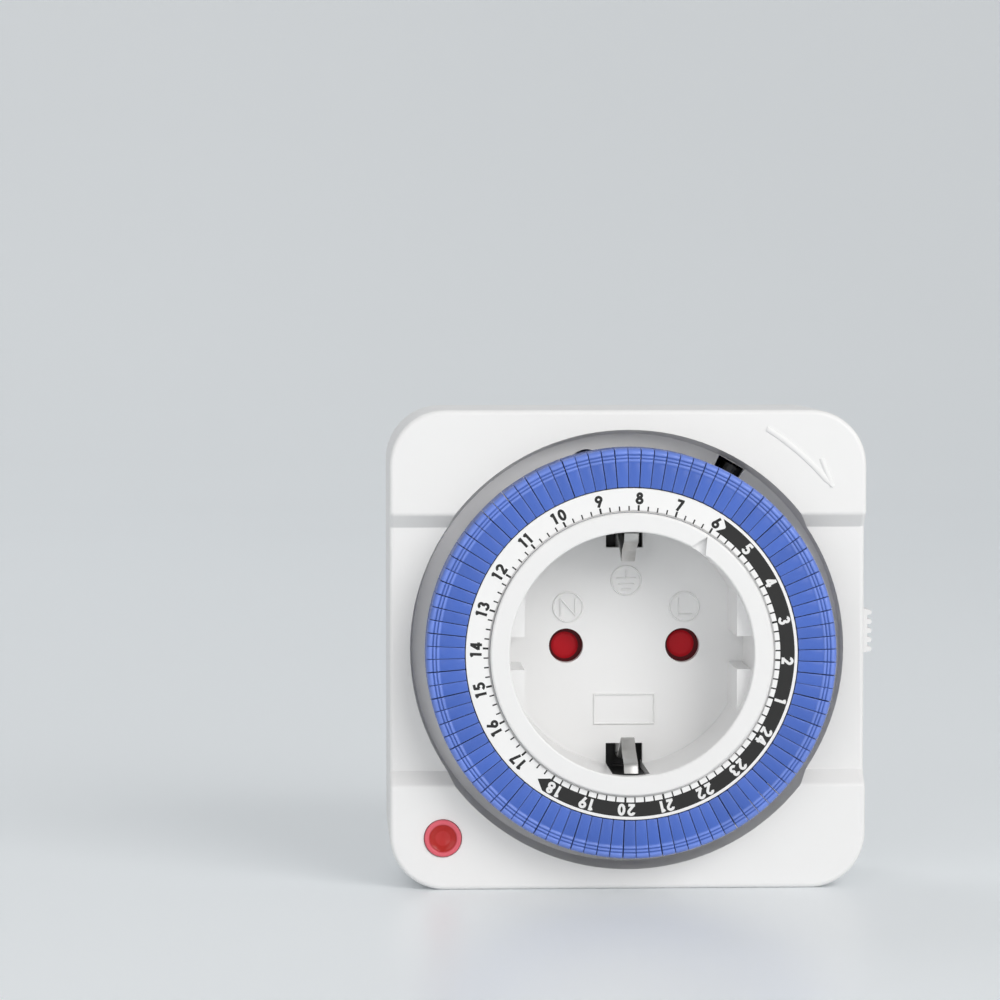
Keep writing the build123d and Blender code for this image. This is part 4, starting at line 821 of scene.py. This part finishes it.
def tappet_section(size, back):
    """A tappet's closed section: rows of radius, depth and the point's share of the painted
    highlight.

    It runs flat from the inner end, over two round ridges between narrow grooves, over a shoulder
    that rolls into the skirt, and back inside.
    """
    top, inner, outer = TAPPET_FRONT, size.inner_radius, size.outer_radius
    flat = top + size.ridge_height
    # The third column is the painted highlight: highest on the ridges and the shoulder, some at the
    # inner end's corner, none on the flat and in the grooves.
    return np.array([
        (inner, back, 0.0), (inner, flat + 0.12, 0.3), (inner + 0.03, flat + 0.03, 0.5),
        (inner + 0.12, flat, 0.1), (30.40, flat, 0.0), (30.58, flat + 0.06, 0.0),
        (30.72, flat + 0.02, 0.4), (30.83, top + 0.02, 1.0), (30.98, top, 1.0),
        (31.10, top + 0.04, 0.8), (31.16, flat + 0.12, 0.0), (31.26, flat + 0.12, 0.0),
        (31.36, top + 0.05, 0.8), (31.50, top + 0.02, 1.0), (31.63, top + 0.07, 0.8),
        (31.70, flat + 0.18, 0.0), (31.80, flat + 0.18, 0.0), (31.92, top + 0.13, 0.9),
        (32.10, top + 0.10, 1.0), (32.38, top + 0.22, 1.0), (32.64, top + 0.50, 0.7),
        (outer, top + 0.95, 0.3), (outer, -0.1, 0.0), (outer - 0.1, 0.0, 0.0),
        (size.skirt_inner + 0.05, 0.0, 0.0), (size.skirt_inner, -0.05, 0.0),
        (size.skirt_inner, back, 0.0)])


def section_midline(outline, size, back):
    """For each point of a tappet's section, the nearest place on its cap's and skirt's midline."""
    cap_level = (back + TAPPET_FRONT) / 2 + 0.15
    skirt_level = (size.skirt_inner + size.outer_radius) / 2
    inner_end, rim_end = size.inner_radius + 0.9, -0.8
    count = len(outline)
    cap = np.stack([np.clip(outline[:, 0], inner_end, skirt_level), np.full(count, cap_level)], -1)
    skirt = np.stack([np.full(count, skirt_level), np.clip(outline[:, 1], cap_level, rim_end)], -1)
    nearer = np.linalg.norm(cap - outline, axis=1) < np.linalg.norm(skirt - outline, axis=1)
    return np.where(nearer[:, None], cap, skirt)


def tappet_prong(size, middle, back):
    """The prong behind a tappet: a section of radius and depth carried across its own angle."""
    near = size.prong_radius - size.prong_thickness / 2
    far = size.prong_radius + size.prong_thickness / 2
    end = back + size.prong_length
    section = np.array([(near, back), (far, back), (far, end), (near, end)])
    reach = np.degrees(size.prong_width / 2 / size.prong_radius)
    points = clock_point(section[:, 0], middle + np.array([[-reach], [reach]]), section[:, 1])
    return points, np.concatenate([grid_faces(2, 4, wrap_columns=True), end_faces(2, 4)[:, ::-1]])


class TIMER_OT_print_dial(bpy.types.Operator):
    """Prints the hours, the quarter marks and the night band on the number ring"""
    bl_idname = "timer.print_dial"
    bl_label = "Print the dial"

    def execute(self, context):
        size = context.scene.timer_dial
        low, high = RING_FRONT + size.ink_height, RING_FRONT - size.ink_height
        self.quarter_marks(size, low, high)
        self.night_band(size, low, high)
        self.ring_lip()
        self.hours(size, low)
        return {"FINISHED"}

    def quarter_marks(self, size, low, high):
        """A mark at each quarter of an hour; those beside the night band reach into it."""
        marks = []
        for quarter in range(HOURS * QUARTERS):
            on_hour = quarter % QUARTERS == 0
            width = size.hour_tick_width if on_hour else size.tick_width
            end = size.hour_tick_end if on_hour else size.tick_end
            time = (POINTER_HOUR - quarter / QUARTERS) % HOURS
            if time < NIGHT_END or time > NIGHT_START:
                end = max(end, size.band_inner + 0.02)
            strip = ribbon(line((0.0, 0.0), (0.0, end - size.tick_start)), width)
            lift = around_dial(size.tick_start, POINTER_ANGLE + QUARTER_STEP * quarter)
            marks.append(plate(strip, lift, low, high))
        printed("quarter_marks", marks, "ink")

    def night_band(self, size, low, high):
        """A band of radius and clock angle, pointed at both ends.

        Its start draws back by 2.7 degrees for each millimetre outside its tip's radius, and by
        that over 1.3 inside it. Its end draws back by 3.8 degrees from its middle to its edges.
        """
        tip_radius = 25.0
        radius = np.linspace(size.band_inner, size.band_outer, 9)
        off_middle = np.abs(radius - radius.mean()) / (size.band_outer - size.band_inner) * 2
        slant = np.where(radius > tip_radius, 1.0, 1.3)
        start = BAND_START - 2.7 * np.abs(radius - tip_radius) / slant
        end = BAND_END - 3.8 * off_middle
        angle = start[:, None] + (end - start)[:, None] * np.linspace(0, 1, 181)
        band = plate(clock_place(radius[:, None], angle), on_front(0.0, 0.0), low, high)
        printed("night_band", [band], "ink")

    def ring_lip(self):
        """The ring's sunk inner lip: a section of radius and depth turned about the dial's axis."""
        inner, outer = 22.64, 22.96
        front, back = RING_FRONT + 0.5, RING_FRONT + 1.6
        section = [(inner, back), (inner, front + 0.05), (inner + 0.06, front), (outer, front),
                   (outer, back)]
        lip = mesh_object("ring_lip", *turned(section, 0.0, 0.0, 240, closed=True))
        keep_edges_sharp(lip, 40)
        dress(lip, "number_ring", "dial")

    def hours(self, size, low):
        """The hours: black by day, and white and twice as thick on the night band."""
        day, night = [], []
        for hour in range(1, HOURS + 1):
            dark = hour < NIGHT_END or hour >= NIGHT_START
            front = RING_FRONT - (2 * size.ink_height if dark else size.ink_height)
            lift = around_dial(size.numeral_radius, hour_angle(hour) + HOUR_SHIFTS[hour])
            strokes = lettering(str(hour), size.numeral_height, size.numeral_stroke)
            (night if dark else day).extend(
                plate(grid, lift, low, front + step * STROKE_STEP)
                for step, grid in enumerate(strokes))
        printed("day_hours", day, "ink")
        printed("night_hours", night, "white_ink")


class TIMER_OT_raise_marks(bpy.types.Operator):
    """Raises the arrow on the housing and the marks on the socket's floor"""
    bl_idname = "timer.raise_marks"
    bl_label = "Raise the marks"

    def execute(self, context):
        size = context.scene.timer_mark
        self.socket_marks(size)
        self.arrow(size)
        return {"FINISHED"}

    def socket_marks(self, size):
        """Rings with the signs for earth, neutral and line, and the outline of the bare plate."""
        parts = []

        def add(paths, x, z, closed=False):
            for step, path in enumerate(paths):
                high = CUP_FLOOR - size.mark_height + step * STROKE_STEP
                parts.append(bead(path, size.mark_line, on_front(x, z), CUP_FLOOR + MARK_ROOT,
                                  high, closed))

        earth, side_level = (0.3, 10.6), 6.3
        ring = arc(0, 0, size.ring_radius, size.ring_radius, 0, 352.5, 48)
        for x, z in (earth, (-9.2, side_level), (9.8, side_level)):
            add([ring], x, z, closed=True)
        for sign, sign_width, sign_height, x in (("N", 5.7, 2.9, -9.2), ("L", 5.9, 2.9, 9.7)):
            width, strokes = SIGNS[sign]
            add([(path - (width / 2, 0.5)) * (sign_width, sign_height) for path, _ in strokes],
                x, side_level)
        bars = [line((-half, z), (half, z)) for half, z in ((1.6, 0.35), (1.3, -0.6), (0.8, -1.45))]
        add([line((0.0, 1.7), (0.0, 0.35)), *bars], *earth)
        half_width, half_height, corner = 4.9, 2.4, 2.52
        levels = [line((-half_width, z), (half_width, z)) for z in (half_height, -half_height)]
        uprights = [line((x, corner), (x, -corner)) for x in (-half_width, half_width)]
        add(levels + uprights, 0.0, -10.4)
        piece = mesh_object("socket_marks", *joined(parts))
        closed_poles(piece)
        keep_edges_sharp(piece, 50)
        dress(piece, "white_insert", "housing")

    def arrow(self, size):
        """A raised arc with one outer barb: its width shrinks evenly to a tenth at its tip."""
        tail, tip, head = 32.0, 51.6, 2.2
        turn = np.linspace(tail, tip, 40)
        width = size.arrow_width * np.clip((tip - turn) / head, 0.1, 1.0)
        barb = line((32.9, 26.3), (31.1, 30.9))
        middle = on_front(0.0, 0.0)
        parts = [bead(clock_place(size.arrow_radius, turn), width, middle, MARK_ROOT,
                      -size.arrow_height),
                 bead(barb, size.arrow_width * 0.8, middle, MARK_ROOT,
                      STROKE_STEP - size.arrow_height)]
        piece = mesh_object("turn_arrow", *joined(parts))
        closed_poles(piece)
        keep_edges_sharp(piece, 60)
        dress(piece, "white_housing", "housing")


class TIMER_OT_build_shutter_domes(bpy.types.Operator):
    """Builds the two low domes of the shutter that show through the pin holes"""
    bl_idname = "timer.build_shutter_domes"
    bl_label = "Build the shutter's domes"

    def execute(self, context):
        """A dome stands up by its height times one minus its radius's share to the sixth power."""
        size = context.scene.timer_mark
        share = np.linspace(0, 1, 14)
        crown = SHUTTER_FRONT - size.dome_height * (1 - share ** 6)
        back = SHUTTER_FRONT + 0.2
        section = np.concatenate([np.stack([share * size.dome_radius, crown], -1),
                                  [(size.dome_radius, back), (0.0, back)]])
        parts = [turned(section, side * PIN_PITCH / 2 - 0.12, side * 0.1, 64) for side in (-1, 1)]
        piece = mesh_object("shutter_domes", *joined(parts))
        closed_poles(piece)
        keep_edges_sharp(piece, 50)
        dress(piece, "red_dome", "socket_shutter")
        return {"FINISHED"}


# Half the strip's route, in depth and height: over the clip, through its slot and to the middle of
# the back. Each corner but the first and last has its bend.
CLIP_CORNERS = ((-6.2, 19.3), (-5.8, 18.0), (-1.2, 16.4), (1.0, 14.3), (CUP_FLOOR, 18.3),
                (STRAP_DEPTH, 18.3), (STRAP_DEPTH, 0.0))
CLIP_BENDS = (0.5, 0.4, 0.9, 0.8, 0.5)
# The strip's section, in shares of its width and of its thickness.
CLIP_SECTION = ((-0.5, -0.32), (-0.47, 0.2), (-0.36, 0.36), (-0.12, 0.5), (0.12, 0.5), (0.36, 0.36),
                (0.47, 0.2), (0.5, -0.32), (0.46, -0.5), (0.0, -0.5), (-0.46, -0.5))


class TIMER_OT_build_earth_clips(bpy.types.Operator):
    """Builds the bent strip with the socket's two earth clips"""
    bl_idname = "timer.build_earth_clips"
    bl_label = "Build the earth clips"

    def execute(self, context):
        """The section is carried along the route.

        A place is the route's, plus the section's height times the route's normal. The width grows
        from the inward bends to 2.4 millimetres further out.
        """
        size = context.scene.timer_clip
        half = bent(CLIP_CORNERS, CLIP_BENDS)
        route = np.concatenate([half, half[-2::-1] * (1.0, -1.0)])
        inmost = CLIP_CORNERS[3][1]
        out = np.clip((np.abs(route[:, 1]) - inmost) / 2.4, 0.0, 1.0)
        width = size.tip_width + (size.clip_width - size.tip_width) * out
        share, lift = np.array(CLIP_SECTION).T
        crown = size.crown * (1 - (2 * share) ** 2) * (lift > 0)
        rise = lift * size.thickness + crown - size.crown / 2
        place = route[:, None] + leftwards(route)[:, None] * rise[None, :, None]
        points = flat_point(width[:, None] * share[None, :], place[..., 1], place[..., 0])
        sides = grid_faces(len(route), len(share), wrap_columns=True)
        ends = end_faces(len(route), len(share))[:, ::-1]
        piece = mesh_object("earth_clips", points, [sides, ends])
        closed_poles(piece)
        keep_edges_sharp(piece, 50)
        dress(piece, "nickel_strip", "housing")
        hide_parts("earth_strap")
        return {"FINISHED"}


class TIMER_OT_build_lamp_lens(bpy.types.Operator):
    """Builds the pilot lamp's lens with its flat edge and its bowl"""
    bl_idname = "timer.build_lamp_lens"
    bl_label = "Build the lamp's lens"

    def execute(self, context):
        """A section of radius and depth turned about the lamp's axis."""
        front, back = front_depth("lamp_lens"), back_depth("lamp_lens")
        bowl = [(0.0, 0.42), (0.9, 0.42), (1.08, 0.36), (1.25, 0.34), (2.0, 0.28), (2.15, 0.2),
                (2.26, 0.06), (2.38, 0.0), (2.72, 0.0), (2.84, 0.03), (2.94, 0.12), (2.99, 0.28),
                (3.0, 0.5)]
        flange = [(3.0, 2.05), (3.68, 2.07), (3.7, 2.12), (3.7, 3.2), (3.66, 3.25), (2.0, 3.25)]
        foot = [(2.0, back - 0.1), (1.9, back), (0.0, back)]
        section = [(radius, front + depth) for radius, depth in bowl] + flange + foot
        piece = mesh_object("pilot_lens", *turned(section, LENS_X, LENS_Z, 96))
        closed_poles(piece)
        keep_edges_sharp(piece, 50)
        dress(piece, "red_lens", "housing")
        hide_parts("lamp_lens")
        return {"FINISHED"}


# Name, place, the place it faces, side in metres, the setting of its power, and colour.
LAMPS = (
    ("key_lamp", (0.62, -1.0, 0.56), (0.0, -0.03, 0.0), 0.75, "key_power", (1.0, 0.985, 0.965)),
    ("fill_lamp", (-0.6, -1.1, 0.2), (0.0, -0.03, 0.0), 0.9, "fill_power", (1.0, 1.0, 1.0)),
    ("rear_lamp", (-0.5, 0.85, 0.9), (0.0, 0.02, 0.0), 0.6, "rear_power", (1.0, 1.0, 1.0)),
)


class TIMER_OT_set_stage(bpy.types.Operator):
    """Sets the floor, the lamps, the sky and the camera"""
    bl_idname = "timer.set_stage"
    bl_label = "Set the stage"

    def execute(self, context):
        scene = context.scene
        size = scene.timer_stage
        self.floor()
        for name, place, target, side, power, color in LAMPS:
            self.lamp(name, place, target, side, getattr(size, power), color)
        world = bpy.data.worlds.new("studio_sky")
        world.use_nodes = True
        feed(world.node_tree, world.node_tree.nodes["Background"],
             {"Color": (1.0, 1.0, 1.0, 1.0), "Strength": size.sky})
        scene.world = world
        lens = bpy.data.cameras.new("camera")
        lens.lens = size.camera_lens
        lens.sensor_width = 36.0
        lens.clip_start = 0.01
        camera = bpy.data.objects.new("camera", lens)
        scene.collection.objects.link(camera)
        camera.location = (size.camera_x, size.camera_y, size.camera_z)
        camera.rotation_euler = (np.radians(90.0 - size.camera_dip), 0.0,
                                 -np.radians(size.camera_turn))
        scene.camera = camera
        scene.view_settings.view_transform = "Standard"
        return {"FINISHED"}

    def lamp(self, name, place, target, side, power, color):
        """A large square lamp turned to a target."""
        light = bpy.data.lights.new(name, "AREA")
        light.size = side
        light.energy = power
        light.color = color
        thing = bpy.data.objects.new(name, light)
        bpy.context.scene.collection.objects.link(thing)
        thing.location = place
        thing.rotation_euler = (Vector(target) - Vector(place)).to_track_quat("-Z", "Y").to_euler()

    def floor(self):
        """A floor that turns up into a backdrop: flat, then a quarter circle, then a wall."""
        front, bend, radius, half_width = -1.6, 0.9, 0.6, 2.5
        turn = np.radians(np.linspace(8, 90, 12))
        run = np.concatenate([np.linspace(front, bend, 12), bend + radius * np.sin(turn),
                              np.full(6, bend + radius)])
        rise = np.concatenate([np.zeros(12), radius - radius * np.cos(turn),
                               np.linspace(0.8, 3.0, 6)])
        across = np.linspace(-half_width, half_width, 12)
        grid = np.broadcast_arrays(across[:, None], run[None, :], BASE_Z + rise[None, :])
        piece = mesh_object("floor", np.stack(grid, -1), [grid_faces(len(across), len(run))])
        self.floor_finish("pale_floor")
        piece.data.materials.append(finish_named("pale_floor"))

    def floor_finish(self, name):
        """A pale floor that glows a little where the camera sees it, and more towards the back."""
        tree, shader, place = new_material(name)
        shade = ranged(tree, noise(tree, place, 3.0), 0.0, 1.0, 0.98, 1.02)
        seen = add_node(tree, "LightPath", {}).outputs
        shown = calculated(tree, "ADD", seen["Is Camera Ray"], seen["Is Glossy Ray"])
        shown = calculated(tree, "ADD", shown, seen["Is Transmission Ray"], clamp=True)
        depth = add_node(tree, "SeparateXYZ", {"Vector": place}).outputs["Y"]
        glow = calculated(tree, "MULTIPLY", shown, ranged(tree, depth, -0.5, 1.2, 0.06, 0.08))
        feed(tree, shader, {
            "Base Color": mixed(tree, 1.0, (0.84, 0.87, 0.89, 1.0), shade, "MULTIPLY"),
            "Roughness": 0.35,
            "Emission Color": (0.86, 0.93, 1.0, 1.0),
            "Emission Strength": glow,
        })


class TIMER_PT_pieces(bpy.types.Panel):
    """Lists the timer's settings and the steps that dress it"""
    bl_idname = "TIMER_PT_pieces"
    bl_label = "Plug-in timer"
    bl_space_type = "VIEW_3D"
    bl_region_type = "UI"
    bl_category = "Timer"

    def draw(self, context):
        layout = self.layout
        for step in STEPS:
            layout.operator(step.bl_idname)
        for name, group in SETTINGS.items():
            box = layout.box()
            box.label(text=group.__doc__)
            for setting in group.__annotations__:
                box.prop(getattr(context.scene, name), setting)


STEPS = (
    TIMER_OT_mix_finishes,
    TIMER_OT_dress_nodes,
    TIMER_OT_build_tappets,
    TIMER_OT_print_dial,
    TIMER_OT_raise_marks,
    TIMER_OT_build_shutter_domes,
    TIMER_OT_build_earth_clips,
    TIMER_OT_build_lamp_lens,
    TIMER_OT_set_stage,
)
CLASSES = (*SETTINGS.values(), *STEPS, TIMER_PT_pieces)


def register():
    """Registers the classes and hangs the settings on the scene."""
    for cls in CLASSES:
        bpy.utils.register_class(cls)
    for name, group in SETTINGS.items():
        setattr(bpy.types.Scene, name, PointerProperty(type=group))


def unregister():
    """Takes the settings off the scene and unregisters the classes."""
    for name in SETTINGS:
        delattr(bpy.types.Scene, name)
    for cls in reversed(CLASSES):
        bpy.utils.unregister_class(cls)


def main():
    """Registers the classes and dresses the timer step by step."""
    register()
    for step in STEPS:
        group, operator = step.bl_idname.split(".")
        getattr(getattr(bpy.ops, group), operator)()


if __name__ == "__main__":
    main()
